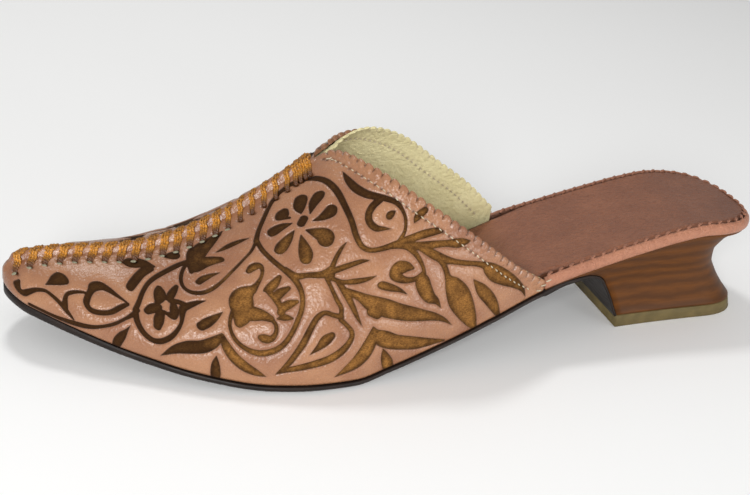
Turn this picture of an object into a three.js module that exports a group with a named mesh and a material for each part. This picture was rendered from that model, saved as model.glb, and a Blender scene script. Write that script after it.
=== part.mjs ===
// Babouche slipper: a backless left shoe with a pointed toe and a low sculpted heel.
// Millimetres, +Z up. Inside the model +X runs from the heel to the toe and +Y to the outer
// (lateral) side. The exported group is centred over the floor under the shoe.
import * as THREE from 'three';
import { mergeVertices } from 'three/addons/utils/BufferGeometryUtils.js';

// Driving dimensions
const LENGTH = 265;
const WALL = 1.6;
const SOLE = 2.2;
const TOE_SOLE = 3.2;
const BREAST_COVER = 0.8;
const COVER_THINS_OVER = 0.33;
const SOLE_BEVEL = 0.4;
const SHANK_END = 112;
const GAP = 0.3;
const WELT = 1.0;
const TOE_SET_BACK = 1.0;
const SET_BACK_FROM = 205;
const INSOLE = 2.6;
const FOREFOOT_INSOLE_FROM = 125;
const INSOLE_TOE = 240;
const INSOLE_INSET = 4.4;
const INSOLE_DRAWN_IN_FROM = 80;
const INSOLE_DRAWN_IN_OVER = 12;
const RAND_HEIGHT = 4.4;
const RAND_THICKNESS = 1.8;
const RAND_END_GAP = 0.8;
const LIFT = 4.7;
const LIFT_FLARE = 1.8;
const LIFT_FLARE_LENGTH = 40;
const QUARTER_END = 94;
const THROAT = 169.5;
const THROAT_STEP = 1.5;
const SEAM_HEIGHT = 2.4;
const SEAM_HALF = 1.3;
const SEAM_TAPER = 0.08;
const SEAM_ROUND = 0.2;
const SEAM_SHOULDER = 0.8;
const SEAM_FADE = 4;
const NOSE_THICKNESS = 4.5;
const NOSE_TAPER = 0.35;
const TIP_RADIUS = 7;
const BREAST_TOP = 94.6;
const SEAT_RADIUS = 25;
const SEAT_POWER = 2.5;
const BELLY_FROM = 8;
const MEDIAL_CROWN = 0.07;
const MEDIAL_CROWN_FROM = 185;
const MEDIAL_CROWN_RUN = 20;

// Rows of the meshes: round the toe, along the seam, collar, sole, breast, heel, insole and rand.
const TOE_ROWS = 6;
const SEAM_ROWS = 18;
const COLLAR_ROWS = 18;
const SOLE_ROWS = 38;
const BREAST_ROWS = 16;
const HEEL_ROWS = 16;
const RAND_ROWS = 24;
const BACK_CROWDING = 2.2;
const WALL_SHARES = [0, 0.06, 0.14, 0.23, 0.33, 0.44, 0.55, 0.66, 0.76, 0.85, 0.92, 0.96, 0.98, 1];

const SIDES = { lateral: 1, medial: -1 };

// Plan of the sole: centre line and half width at each distance from the heel.
const PLAN = [
  { x: 0, centre: -9.5, half: 24.5 },
  { x: 24, centre: -8.3, half: 25.2 },
  { x: 52, centre: -5.7, half: 25.2 },
  { x: 73, centre: -2.6, half: 25.3 },
  { x: 92, centre: 0.6, half: 25.8 },
  { x: 112, centre: 3.2, half: 28.2 },
  { x: 130, centre: 4.8, half: 31.2 },
  { x: 150, centre: 5.4, half: 35.0 },
  { x: 165, centre: 5.2, half: 38.4 },
  { x: 180, centre: 4.2, half: 40.0 },
  { x: 195, centre: 2.6, half: 39.2 },
  { x: 210, centre: 1.0, half: 36.0 },
  { x: 225, centre: -0.8, half: 30.2 },
  { x: 240, centre: -2.4, half: 23.6 },
  { x: 255, centre: -4.0, half: 15.4 },
  { x: 265, centre: -5.0, half: 9.0 },
];

// Side view: underside of the outsole.
const UNDERSIDE = [
  { x: 76, z: 21.4 },
  { x: 84, z: 21.3 },
  { x: 95, z: 18.8 },
  { x: 112, z: 13.2 },
  { x: 130, z: 7.8 },
  { x: 150, z: 2.4 },
  { x: 162, z: 0 },
  { x: 188, z: 0 },
  { x: 205, z: 1.6 },
  { x: 225, z: 4.2 },
  { x: 245, z: 8.6 },
  { x: 265, z: 13.6 },
];

// Side view: top of the insole over the heel and shank.
const SEAT = [
  { x: 0, z: 38.0 },
  { x: 12, z: 39.2 },
  { x: 26, z: 39.4 },
  { x: 40, z: 37.6 },
  { x: 52, z: 35.2 },
  { x: 73, z: 31.0 },
  { x: 92, z: 26.9 },
  { x: 104, z: 22.6 },
  { x: 116, z: 18.4 },
];

// Cross-sections of the upper: height and side place of the centre seam, and how each wall
// bellies out (bulge), how far up it stays steep (side) and how flat it is at the top (crown).
const SECTIONS = [
  { x: 96, seam: 102, middle: -4, bulge: 1.0, side: 0.3, crown: 0.66 },
  { x: 125, seam: 86, middle: -3.5, bulge: 2.0, side: 0.32, crown: 0.64 },
  { x: 150, seam: 71, middle: -3, bulge: 3.5, side: 0.34, crown: 0.63 },
  { x: 160, seam: 64.4, middle: -2.8, bulge: 4.0, side: 0.36, crown: 0.61 },
  { x: 171, seam: 56.6, middle: -2.6, bulge: 4.2, side: 0.38, crown: 0.56 },
  { x: 185, seam: 46.4, middle: -2.2, bulge: 4.2, side: 0.42, crown: 0.5 },
  { x: 200, seam: 36.8, middle: -1.8, bulge: 3.6, side: 0.46, crown: 0.5 },
  { x: 215, seam: 30.2, middle: -1.8, bulge: 3.0, side: 0.5, crown: 0.5 },
  { x: 230, seam: 27.1, middle: -2.4, bulge: 2.2, side: 0.52, crown: 0.5 },
  { x: 245, seam: 26.4, middle: -3.4, bulge: 1.6, side: 0.54, crown: 0.5 },
  { x: 257, seam: 24.8, middle: -4.4, bulge: 1.0, side: 0.54, crown: 0.5 },
  { x: 265, seam: 20.4, middle: -5.0, bulge: 0.4, side: 0.5, crown: 0.5 },
];

// Collar line, from the throat to the ends of the quarters: distance from the heel and share of
// the way up each wall.
const COLLAR = [
  { step: 0, x: 169.5, lateral: 1.0, medial: 1.0 },
  { step: 0.06, x: 165.5, lateral: 0.985, medial: 0.98 },
  { step: 0.12, x: 162.5, lateral: 0.94, medial: 0.935 },
  { step: 0.2, x: 158.5, lateral: 0.845, medial: 0.865 },
  { step: 0.3, x: 152.5, lateral: 0.73, medial: 0.785 },
  { step: 0.45, x: 143, lateral: 0.585, medial: 0.66 },
  { step: 0.6, x: 133, lateral: 0.463, medial: 0.54 },
  { step: 0.75, x: 121, lateral: 0.332, medial: 0.395 },
  { step: 0.9, x: 106, lateral: 0.172, medial: 0.235 },
  { step: 1, x: 94, lateral: 0.05, medial: 0.08 },
];

// Heel walls from the lift up to the seat: the breast's place (front, rise), the back end and
// how far the sides stand in from the seat's edge and sit towards the lateral side (shift).
const HEEL = [
  { front: 57.4, rise: 5.0, back: 0.8, inset: 7.4, shift: 4.6 },
  { front: 58.8, rise: 8.0, back: 4.2, inset: 7.8, shift: 4.2 },
  { front: 61.4, rise: 13.0, back: 9.0, inset: 7.4, shift: 3.2 },
  { front: 64.0, rise: 17.0, back: 11.6, inset: 6.6, shift: 2.2 },
  { front: 66.6, rise: 20.4, back: 11.8, inset: 5.4, shift: 1.6 },
  { front: 70.5, rise: 22.8, back: 9.6, inset: 3.8, shift: 1.0 },
  { front: 76.0, rise: 23.9, back: 6.6, inset: 2.6, shift: 0.5 },
  { front: 85.0, rise: 23.6, back: 3.6, inset: 1.6, shift: 0.2 },
  { front: 93.2, rise: 21.7, back: 1.2, inset: 1.0, shift: 0 },
];

const COLORS = {
  upper: 0xc98a6c,
  insole: 0x9a6250,
  rand: 0xb87a62,
  outsole: 0x2e2420,
  heel: 0x7a4a26,
  lift: 0x74683f,
};

// Cross-section of the rand: how far it stands in from the seat's edge and its share of the height.
const RAND_PROFILE = [
  { inset: RAND_THICKNESS, height: 0 },
  { inset: 0.5, height: 0 },
  { inset: 0, height: 0.3 },
  { inset: 0, height: 0.7 },
  { inset: 0.4, height: 0.95 },
  { inset: 1.0, height: 1.05 },
  { inset: RAND_THICKNESS, height: 1 },
];

function mix(a, b, t) {
  return a + (b - a) * t;
}

// How far x has gone from one place to another, from 0 to 1.
function progress(x, from, to) {
  return Math.min(Math.max((x - from) / (to - from), 0), 1);
}

// Reads one column of a table as a smooth curve that never overshoots its rows.
function curveOf(table, key, along = 'x') {
  const x = table.map((row) => row[along]);
  const y = table.map((row) => row[key]);
  const last = x.length - 1;
  const slope = [];
  for (let i = 0; i < last; i += 1) {
    slope.push((y[i + 1] - y[i]) / (x[i + 1] - x[i]));
  }
  const tangent = y.map((value, i) => {
    const before = slope[Math.max(i - 1, 0)];
    const after = slope[Math.min(i, last - 1)];
    return before * after > 0 ? (2 * before * after) / (before + after) : 0;
  });
  return (at) => {
    const clamped = Math.min(Math.max(at, x[0]), x[last]);
    let i = 0;
    while (i < last - 1 && clamped > x[i + 1]) {
      i += 1;
    }
    const width = x[i + 1] - x[i];
    const t = (clamped - x[i]) / width;
    const a = (1 + 2 * t) * (1 - t) * (1 - t) * y[i];
    const b = t * (1 - t) * (1 - t) * width * tangent[i];
    const c = t * t * (3 - 2 * t) * y[i + 1];
    const d = t * t * (t - 1) * width * tangent[i + 1];
    return a + b + c + d;
  };
}

const planCentre = curveOf(PLAN, 'centre');
const planHalf = curveOf(PLAN, 'half');
const underside = curveOf(UNDERSIDE, 'z');
const seatTop = curveOf(SEAT, 'z');
const seamHeight = curveOf(SECTIONS, 'seam');
const seamMiddle = curveOf(SECTIONS, 'middle');
const bulge = curveOf(SECTIONS, 'bulge');
const sideShare = curveOf(SECTIONS, 'side');
const crownShare = curveOf(SECTIONS, 'crown');
const collarX = curveOf(COLLAR, 'x', 'step');
const collarShare = {
  lateral: curveOf(COLLAR, 'lateral', 'step'),
  medial: curveOf(COLLAR, 'medial', 'step'),
};

// Edge of the sole on one side (+1 lateral, -1 medial), drawn in by an inset.
function edge(x, side, inset = 0) {
  const tip = LENGTH - inset;
  const toe = progress(x, tip - TIP_RADIUS, tip);
  const heel = progress(x, SEAT_RADIUS + inset, inset);
  const tipRound = Math.sqrt(1 - toe * toe);
  const heelRound = (1 - heel ** SEAT_POWER) ** (1 / SEAT_POWER);
  return planCentre(x) + side * (planHalf(x) - inset) * tipRound * heelRound;
}

function soleTop(x) {
  return underside(x) + mix(SOLE, TOE_SOLE, progress(x, SET_BACK_FROM, LENGTH));
}

// How far the outsole stands back under the upper's pointed toe.
function setBack(x) {
  return TOE_SET_BACK * progress(x, SET_BACK_FROM, LENGTH - TOE_SET_BACK);
}

// Top of the heel and shank, which the insole lies on.
function deck(x) {
  return x < SHANK_END ? Math.max(soleTop(x), seatTop(x) - RAND_HEIGHT) : soleTop(x);
}

function insoleTop(x) {
  return deck(x) + mix(RAND_HEIGHT, INSOLE, progress(x, QUARTER_END, FOREFOOT_INSOLE_FROM));
}

// Outer face of the upper at a distance from the heel and a share of the way from the sole
// (0) to the centre seam (1).
function upperPoint(x, share, side) {
  const foot = edge(x, side, WELT);
  const middle = seamMiddle(x);
  const low = soleTop(x) + GAP;
  const high = seamHeight(x);
  const belly = bulge(x) * Math.min(1, Math.abs(foot - middle) / BELLY_FROM);
  const fuller = MEDIAL_CROWN * progress(x, MEDIAL_CROWN_FROM, MEDIAL_CROWN_FROM - MEDIAL_CROWN_RUN);
  const crown = crownShare(x) + (side === SIDES.medial ? fuller : 0);
  const wall = new THREE.CubicBezierCurve(
    new THREE.Vector2(foot, low),
    new THREE.Vector2(foot + side * belly, mix(low, high, sideShare(x))),
    new THREE.Vector2(mix(middle, foot, crown), high),
    new THREE.Vector2(middle, high),
  );
  const { x: y, y: z } = wall.getPoint(share);
  return new THREE.Vector3(x, y, z);
}

function upperNormal(x, share, side) {
  const step = 0.02;
  const front = Math.min(x, LENGTH - 1.0);
  const near = Math.min(Math.max(share, step), 1 - step);
  const along = upperPoint(front + 0.5, near, side).sub(upperPoint(front - 0.5, near, side));
  const up = upperPoint(front, near + step, side).sub(upperPoint(front, near - step, side));
  return along.cross(up).multiplyScalar(-side).normalize();
}

function vertexKey(point) {
  return [point.x, point.y, point.z].map((value) => Math.round(value * 1000)).join(' ');
}

// Collects triangles between named points, dropping those that shrink to a line.
class Skin {
  constructor() {
    this.positions = [];
  }

  triangle(a, b, c) {
    const keys = new Set([a, b, c].map(vertexKey));
    if (keys.size === 3) {
      for (const point of [a, b, c]) {
        this.positions.push(point.x, point.y, point.z);
      }
    }
  }

  quad(a, b, c, d) {
    this.triangle(a, b, c);
    this.triangle(a, c, d);
  }

  // Sheet of quads over rows of points; flipped sheets face the other way.
  sheet(rows, flipped = false) {
    for (let i = 0; i + 1 < rows.length; i += 1) {
      for (let j = 0; j + 1 < rows[i].length; j += 1) {
        const corners = [rows[i][j], rows[i + 1][j], rows[i + 1][j + 1], rows[i][j + 1]];
        this.quad(...(flipped ? corners.reverse() : corners));
      }
    }
  }

  geometry() {
    const loose = new THREE.BufferGeometry();
    loose.setAttribute('position', new THREE.Float32BufferAttribute(this.positions, 3));
    const solid = mergeVertices(loose, 1e-3);
    solid.computeVertexNormals();
    return solid;
  }
}

function spread(count, make) {
  return Array.from({ length: count + 1 }, (unused, i) => make(i / count));
}

// Slab between two ladders of points: each station has its lateral and medial edge on top and
// underneath.
function slab(stations) {
  const skin = new Skin();
  skin.sheet(stations.map((row) => [row.topLeft, row.topRight]));
  skin.sheet(stations.map((row) => [row.lowLeft, row.lowRight]), true);
  skin.sheet(stations.map((row) => [row.topLeft, row.lowLeft]), true);
  skin.sheet(stations.map((row) => [row.topRight, row.lowRight]));
  const first = stations[0];
  const last = stations[stations.length - 1];
  skin.quad(first.topLeft, first.topRight, first.lowRight, first.lowLeft);
  skin.quad(last.topLeft, last.lowLeft, last.lowRight, last.topRight);
  return skin.geometry();
}

// Stations along the shoe, closer together at the rounded toe.
function toeStations(inset) {
  const end = LENGTH - inset;
  return spread(TOE_ROWS, (t) => end - TIP_RADIUS * (1 - Math.cos((t * Math.PI) / 2)));
}

// Rows of the upper from the nose back along the seam to the throat, then along the collar.
function upperRows() {
  const alongToe = toeStations(WELT);
  const alongSeam = spread(SEAM_ROWS, (t) => mix(alongToe[TOE_ROWS], THROAT + THROAT_STEP, t)).slice(1);
  const seamRows = [...alongToe, ...alongSeam].map((x) => ({ x, step: 0, onSeam: true }));
  const collarRows = spread(COLLAR_ROWS, (step) => {
    return { x: mix(THROAT, QUARTER_END, step), step, onSeam: false };
  });
  return [...seamRows, ...collarRows];
}

// The inside ends short of the nose, where the leather is thick.
function insideOf(x) {
  const tip = LENGTH - WELT;
  return Math.min(x, tip - NOSE_THICKNESS - NOSE_TAPER * (tip - x));
}

// Raised seam along the top of the toe, as the last three points of an outer row.
function raiseSeam(out, x, side) {
  const middle = seamMiddle(x);
  const high = seamHeight(x);
  const half = side * Math.min(SEAM_HALF, SEAM_TAPER * Math.abs(out[0].y - middle));
  const rise = SEAM_HEIGHT * Math.min(1, (LENGTH - WELT - x) / SEAM_FADE);
  const top = new THREE.Vector3(x, middle, high + rise + SEAM_ROUND);
  const shoulder = new THREE.Vector3(x, middle + half * SEAM_SHOULDER, high + rise);
  const base = new THREE.Vector3(x, middle + half, high);
  out.splice(-3, 3, base, shoulder, top);
}

// Under the seam both walls meet in one line, a wall's thickness below it.
function closeInside(inn, x) {
  const high = seamHeight(x) - WALL;
  for (const point of inn.slice(-3)) {
    point.z = Math.min(point.z, high);
  }
  inn.splice(-1, 1, new THREE.Vector3(x, seamMiddle(x), high));
}

// Outer and inner face of one wall at one row, from the sole up.
function wallRow(row, name) {
  const side = SIDES[name];
  const topX = row.onSeam ? row.x : collarX(row.step);
  const topShare = row.onSeam ? 1 : collarShare[name](row.step);
  const out = [];
  const inn = [];
  for (const share of WALL_SHARES) {
    const x = mix(row.x, topX, share);
    const at = share * topShare;
    const back = insideOf(x);
    out.push(upperPoint(x, at, side));
    inn.push(upperPoint(back, at, side).addScaledVector(upperNormal(back, at, side), -WALL));
  }
  const foot = out[0].z;
  for (const point of inn) {
    point.z = Math.max(point.z, foot);
  }
  inn[0].z = foot;
  if (row.onSeam) {
    raiseSeam(out, row.x, side);
  }
  if (row.onSeam || row.step === 0) {
    closeInside(inn, insideOf(topX));
  }
  return { out, inn };
}

function upperGeometry() {
  const rows = upperRows();
  const throat = rows.findIndex((row) => !row.onSeam);
  const top = WALL_SHARES.length - 1;
  const skin = new Skin();
  const noses = [];
  for (const name of Object.keys(SIDES)) {
    const flipped = name === 'medial';
    const walls = rows.map((row) => wallRow(row, name));
    const out = walls.map((wall) => wall.out);
    const inn = walls.map((wall) => wall.inn);
    for (const point of out[0]) {
      point.y = planCentre(LENGTH - WELT);
    }
    skin.sheet(out, flipped);
    skin.sheet(inn, !flipped);
    skin.sheet(out.map((row, i) => [inn[i][0], row[0]]), flipped);
    skin.sheet(out.slice(throat).map((row, i) => [row[top], inn[throat + i][top]]), flipped);
    skin.sheet([out[rows.length - 1], inn[rows.length - 1]], flipped);
    noses.push({ tip: out[0][0], inside: inn[0] });
  }
  const [lateral, medial] = noses;
  skin.sheet([medial.inside, lateral.inside], true);
  skin.triangle(lateral.tip, medial.inside[0], lateral.inside[0]);
  return skin.geometry();
}

function outsoleGeometry() {
  const toe = toeStations(TOE_SET_BACK);
  const tread = spread(SOLE_ROWS, (t) => mix(toe[TOE_ROWS], BREAST_TOP, t)).slice(1);
  const flat = [...toe, ...tread].map((x) => {
    const left = edge(x, SIDES.lateral, setBack(x));
    const right = edge(x, SIDES.medial, setBack(x));
    return {
      topLeft: new THREE.Vector3(x, left, soleTop(x)),
      topRight: new THREE.Vector3(x, right, soleTop(x)),
      lowLeft: new THREE.Vector3(x, left - SOLE_BEVEL, underside(x)),
      lowRight: new THREE.Vector3(x, right + SOLE_BEVEL, underside(x)),
    };
  });
  const breast = spread(BREAST_ROWS, (t) => {
    const cover = mix(SOLE, BREAST_COVER, progress(t, 0, COVER_THINS_OVER));
    const { place, normal, inset, shift } = breastAt(mix(HEEL.length - 1, 0, t));
    const near = place.clone().addScaledVector(normal, GAP);
    const far = place.clone().addScaledVector(normal, GAP + cover);
    const left = edge(place.x, SIDES.lateral, inset) + shift;
    const right = edge(place.x, SIDES.medial, inset) + shift;
    return {
      topLeft: new THREE.Vector3(near.x, left, near.y),
      topRight: new THREE.Vector3(near.x, right, near.y),
      lowLeft: new THREE.Vector3(far.x, left, far.y),
      lowRight: new THREE.Vector3(far.x, right, far.y),
    };
  });
  return slab([...flat, ...breast]);
}

const heelRows = HEEL.map((row, level) => ({ ...row, level }));
const heelFront = curveOf(heelRows, 'front', 'level');
const heelRise = curveOf(heelRows, 'rise', 'level');
const heelBack = curveOf(heelRows, 'back', 'level');
const heelInset = curveOf(heelRows, 'inset', 'level');
const heelShift = curveOf(heelRows, 'shift', 'level');

// Point of the breast in side view, with the direction that faces forward and down.
function breastAt(level) {
  const place = new THREE.Vector2(heelFront(level), heelRise(level));
  const low = Math.max(level - 0.05, 0);
  const high = Math.min(level + 0.05, HEEL.length - 1);
  const along = new THREE.Vector2(heelFront(high) - heelFront(low), heelRise(high) - heelRise(low));
  const normal = new THREE.Vector2(along.y, -along.x).normalize();
  return { place, normal, inset: heelInset(level), shift: heelShift(level) };
}

// One loop round the heel: lateral side from back to front, then the medial side back again.
function heelRing(level, heightAt) {
  const back = heelBack(level);
  return spread(HEEL_ROWS, (t) => {
    const x = mix(back, heelFront(level), t ** BACK_CROWDING);
    const half = planHalf(x) - heelInset(level);
    const middle = planCentre(x) + heelShift(level);
    const turn = progress(x, back + half, back);
    const wide = half * (1 - turn ** SEAT_POWER) ** (1 / SEAT_POWER);
    const z = heightAt(x);
    return [
      new THREE.Vector3(x, middle + wide, z),
      new THREE.Vector3(x, middle - wide, z),
    ];
  });
}

function heelShare(level) {
  const floor = LIFT + GAP;
  return (heelRise(level) - floor) / (deck(heelFront(level)) - floor);
}

// Stacks rings of paired points into one closed solid.
function stack(rings) {
  const skin = new Skin();
  const bottom = rings[0];
  const top = rings[rings.length - 1];
  skin.sheet(bottom);
  skin.sheet(top, true);
  skin.sheet(rings.map((ring) => ring.map((pair) => pair[0])));
  skin.sheet(rings.map((ring) => ring.map((pair) => pair[1])), true);
  skin.sheet(rings.map((ring) => ring[ring.length - 1]));
  return skin.geometry();
}

function heelGeometry() {
  const floor = LIFT + GAP;
  const last = HEEL.length - 1;
  const rings = spread(last * 2, (t) => {
    const level = t * last;
    return heelRing(level, (x) => mix(floor, deck(x), heelShare(level)));
  });
  return stack([...rings, heelRing(last, deck)]);
}

function liftGeometry() {
  const top = heelRing(0, () => LIFT);
  const bottom = heelRing(0, () => 0);
  for (const point of bottom.flat()) {
    point.x -= LIFT_FLARE * (1 - progress(point.x, 0, LIFT_FLARE_LENGTH));
  }
  return stack([bottom, top]);
}

function insoleGeometry() {
  const end = RAND_THICKNESS + GAP;
  const seatEnd = 60;
  const rear = spread(HEEL_ROWS, (t) => mix(end, seatEnd, t ** BACK_CROWDING));
  const front = spread(SOLE_ROWS, (t) => mix(seatEnd, INSOLE_TOE, t)).slice(1);
  const stations = [...rear, ...front].reverse().map((x) => {
    const drawnIn = progress(x, INSOLE_DRAWN_IN_FROM, INSOLE_DRAWN_IN_FROM + INSOLE_DRAWN_IN_OVER);
    const inset = mix(end, INSOLE_INSET, drawnIn);
    const left = edge(x, SIDES.lateral, inset);
    const right = edge(x, SIDES.medial, inset);
    const low = deck(x) + GAP;
    const high = insoleTop(x);
    return {
      topLeft: new THREE.Vector3(x, left, high),
      topRight: new THREE.Vector3(x, right, high),
      lowLeft: new THREE.Vector3(x, left, low),
      lowRight: new THREE.Vector3(x, right, low),
    };
  });
  return slab(stations);
}

// Binding round the heel seat, as a row of cross-sections from one quarter to the other.
function randGeometry() {
  const ring = (t, side) => RAND_PROFILE.map(({ inset, height }) => {
    const x = mix(inset, QUARTER_END - RAND_END_GAP, t ** BACK_CROWDING);
    const low = deck(x) + GAP;
    return new THREE.Vector3(x, edge(x, side, inset), mix(low, insoleTop(x), height));
  });
  const lateral = spread(RAND_ROWS, (t) => ring(1 - t, SIDES.lateral));
  const medial = spread(RAND_ROWS, (t) => ring(t, SIDES.medial)).slice(1);
  const rings = [...lateral, ...medial];
  const skin = new Skin();
  skin.sheet(rings.map((points) => [...points, points[0]]));
  const first = rings[0];
  const last = rings[rings.length - 1];
  for (let k = 1; k + 1 < first.length; k += 1) {
    skin.triangle(first[0], first[k], first[k + 1]);
    skin.triangle(last[0], last[k + 1], last[k]);
  }
  return skin.geometry();
}

function piece(name, geometry, color, roughness) {
  const material = new THREE.MeshStandardMaterial({ color, roughness, metalness: 0 });
  const mesh = new THREE.Mesh(geometry, material);
  mesh.name = name;
  return mesh;
}

const shoe = new THREE.Group();
shoe.add(piece('upper', upperGeometry(), COLORS.upper, 0.45));
shoe.add(piece('insole', insoleGeometry(), COLORS.insole, 0.6));
shoe.add(piece('rand', randGeometry(), COLORS.rand, 0.5));
shoe.add(piece('outsole', outsoleGeometry(), COLORS.outsole, 0.6));
shoe.add(piece('heel', heelGeometry(), COLORS.heel, 0.4));
shoe.add(piece('top_lift', liftGeometry(), COLORS.lift, 0.7));

// Origin over the middle of the shoe's footprint, on the floor.
const extent = new THREE.Box3().setFromObject(shoe);
const middle = extent.getCenter(new THREE.Vector3());
shoe.position.set(-middle.x, -middle.y, -extent.min.z);
const babouche = new THREE.Group();
babouche.add(shoe);
babouche.updateMatrixWorld(true);

export default babouche;
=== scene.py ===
"""Babouche slipper: the finished leather, thread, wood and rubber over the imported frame.

Shoe sizes are in millimetres in the shoe's own frame: x from the back of the heel to the toe, y to
the outer (lateral) side, z up from the floor. place() turns them into the frame's metres.
"""

import math

import bpy
import numpy as np
from mathutils import Matrix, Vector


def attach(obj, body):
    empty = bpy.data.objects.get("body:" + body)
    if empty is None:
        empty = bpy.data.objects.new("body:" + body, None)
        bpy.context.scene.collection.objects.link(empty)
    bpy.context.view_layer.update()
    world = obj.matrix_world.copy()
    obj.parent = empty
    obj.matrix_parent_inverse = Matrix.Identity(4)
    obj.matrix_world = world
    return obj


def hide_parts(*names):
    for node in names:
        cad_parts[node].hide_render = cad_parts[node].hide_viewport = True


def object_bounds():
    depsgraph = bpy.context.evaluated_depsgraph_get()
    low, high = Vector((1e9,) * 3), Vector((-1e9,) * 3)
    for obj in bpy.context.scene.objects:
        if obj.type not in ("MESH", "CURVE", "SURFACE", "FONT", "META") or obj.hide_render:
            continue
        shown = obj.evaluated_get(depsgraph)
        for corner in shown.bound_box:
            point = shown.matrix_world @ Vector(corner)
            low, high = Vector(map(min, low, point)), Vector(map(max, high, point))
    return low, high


bl_info = {
    "name": "Babouche Slipper",
    "version": (1, 0, 0),
    "blender": (4, 5, 0),
    "location": "3D View > Sidebar > Slipper",
    "description": "Builds a tooled leather babouche slipper around its packed frame",
    "category": "Add Mesh",
}

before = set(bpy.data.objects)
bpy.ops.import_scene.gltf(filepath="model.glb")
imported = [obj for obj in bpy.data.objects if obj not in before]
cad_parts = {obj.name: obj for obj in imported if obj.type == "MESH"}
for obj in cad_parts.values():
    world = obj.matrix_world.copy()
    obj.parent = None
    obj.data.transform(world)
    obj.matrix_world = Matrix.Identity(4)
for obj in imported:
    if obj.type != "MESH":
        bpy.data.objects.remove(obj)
CAD_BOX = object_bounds()
MM = 0.001

# ---------------------------------------------------------------- driving dimensions, millimetres
LENGTH = 265
WALL = 1.6
SOLE = 2.2
TOE_SOLE = 3.2
BREAST_COVER = 0.8
SHANK_END = 112
GAP = 0.3
WELT = 1.0
TOE_SET_BACK = 1.0
SET_BACK_FROM = 205
INSOLE = 2.6
FOREFOOT_INSOLE_FROM = 125
INSOLE_TOE = 240
INSOLE_INSET = 4.4
RAND_HEIGHT = 4.4
RAND_THICKNESS = 1.8
LIFT = 4.7
LIFT_FLARE = 1.8
QUARTER_END = 94
THROAT = 169.5
TIP_RADIUS = 7
BREAST_TOP = 94.6
SEAT_RADIUS = 25
SEAT_POWER = 2.5
MEDIAL_CROWN = 0.07
MEDIAL_CROWN_FROM = 185
MEDIAL_CROWN_RUN = 20
BELLY_FROM = 8
LATERAL = 1
MEDIAL = -1

SEAT_MIDDLE = np.array([45.0, -5.0])
SEAT_LINE_INSET = 2.05
SEAT_LINE_STEP = 0.1
WHIP_REACH = 1.35
WHIP_RADIUS = 0.34
WHIP_SPREAD = 0.24
# Size of the dark bead painted as the shadow beside each whip stitch
WHIP_HOLE_SHADOW = (0.55, 0.35, 0.12)
INSOLE_MESH = 0.8
INSOLE_DISH = 0.7
INSOLE_ROLL = 0.9
LINING_COLUMNS = 0.45
LINING_MESH = 0.9
LACE_STEPS = 46
PLY_SHARE = 0.33
STRAND_SPACING = 0.8
TWIST_LENGTH = 1.9
DOT = (0.95, 0.55, 0.22)
DOT_BELOW_HOLE = 1.1
DOT_AHEAD = 0.4
WOOD_BAND = 4.2
BAND_WARP = 9.0
HEEL_OUTLINE_POINTS = 44
HEEL_LEVELS = 50
BREAST_STEPS = 24
COVER_THINNING = 3  # the cover reaches its own thickness a third of the way down the breast
EDGE_BEVEL = 0.4

# Plan of the sole: x, centre, half width
PLAN = np.array([
    (0, -9.5, 24.5), (24, -8.3, 25.2), (52, -5.7, 25.2), (73, -2.6, 25.3),
    (92, 0.6, 25.8), (112, 3.2, 28.2), (130, 4.8, 31.2), (150, 5.4, 35.0),
    (165, 5.2, 38.4), (180, 4.2, 40.0), (195, 2.6, 39.2), (210, 1.0, 36.0),
    (225, -0.8, 30.2), (240, -2.4, 23.6), (255, -4.0, 15.4), (265, -5.0, 9.0),
])

# Underside of the outsole: x, z
UNDERSIDE = np.array([
    (76, 21.4), (84, 21.3), (95, 18.8), (112, 13.2), (130, 7.8), (150, 2.4),
    (162, 0), (188, 0), (205, 1.6), (225, 4.2), (245, 8.6), (265, 13.6),
])

# Top of the insole over the heel and shank: x, z
SEAT = np.array([
    (0, 38.0), (12, 39.2), (26, 39.4), (40, 37.6), (52, 35.2), (73, 31.0),
    (92, 26.9), (104, 22.6), (116, 18.4),
])

# Sections of the upper: x, seam height, seam side place, bulge, side share, crown share
SECTIONS = np.array([
    (96, 102, -4, 1.0, 0.3, 0.66), (125, 86, -3.5, 2.0, 0.32, 0.64),
    (150, 71, -3, 3.5, 0.34, 0.63), (160, 64.4, -2.8, 4.0, 0.36, 0.61),
    (171, 56.6, -2.6, 4.2, 0.38, 0.56), (185, 46.4, -2.2, 4.2, 0.42, 0.5),
    (200, 36.8, -1.8, 3.6, 0.46, 0.5), (215, 30.2, -1.8, 3.0, 0.5, 0.5),
    (230, 27.1, -2.4, 2.2, 0.52, 0.5), (245, 26.4, -3.4, 1.6, 0.54, 0.5),
    (257, 24.8, -4.4, 1.0, 0.54, 0.5), (265, 20.4, -5.0, 0.4, 0.5, 0.5),
])

# Collar from the throat to the quarter's end: step, x, lateral share, medial share of the wall
COLLAR = np.array([
    (0, 169.5, 1.0, 1.0), (0.06, 165.5, 0.985, 0.98), (0.12, 162.5, 0.94, 0.935),
    (0.2, 158.5, 0.845, 0.865), (0.3, 152.5, 0.73, 0.785), (0.45, 143, 0.585, 0.66),
    (0.6, 133, 0.463, 0.54), (0.75, 121, 0.332, 0.395), (0.9, 106, 0.172, 0.235),
    (1, 94, 0.05, 0.08),
])

# Heel from the lift up to the seat: level, front, rise, back, inset, shift
HEEL = np.array([
    (0, 57.4, 5.0, 0.8, 7.4, 4.6), (1, 58.8, 8.0, 4.2, 7.8, 4.2),
    (2, 61.4, 13.0, 9.0, 7.4, 3.2), (3, 64.0, 17.0, 11.6, 6.6, 2.2),
    (4, 66.6, 20.4, 11.8, 5.4, 1.6), (5, 70.5, 22.8, 9.6, 3.8, 1.0),
    (6, 76.0, 23.9, 6.6, 2.6, 0.5), (7, 85.0, 23.6, 3.6, 1.6, 0.2),
    (8, 93.2, 21.7, 1.2, 1.0, 0.0),
])

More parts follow.
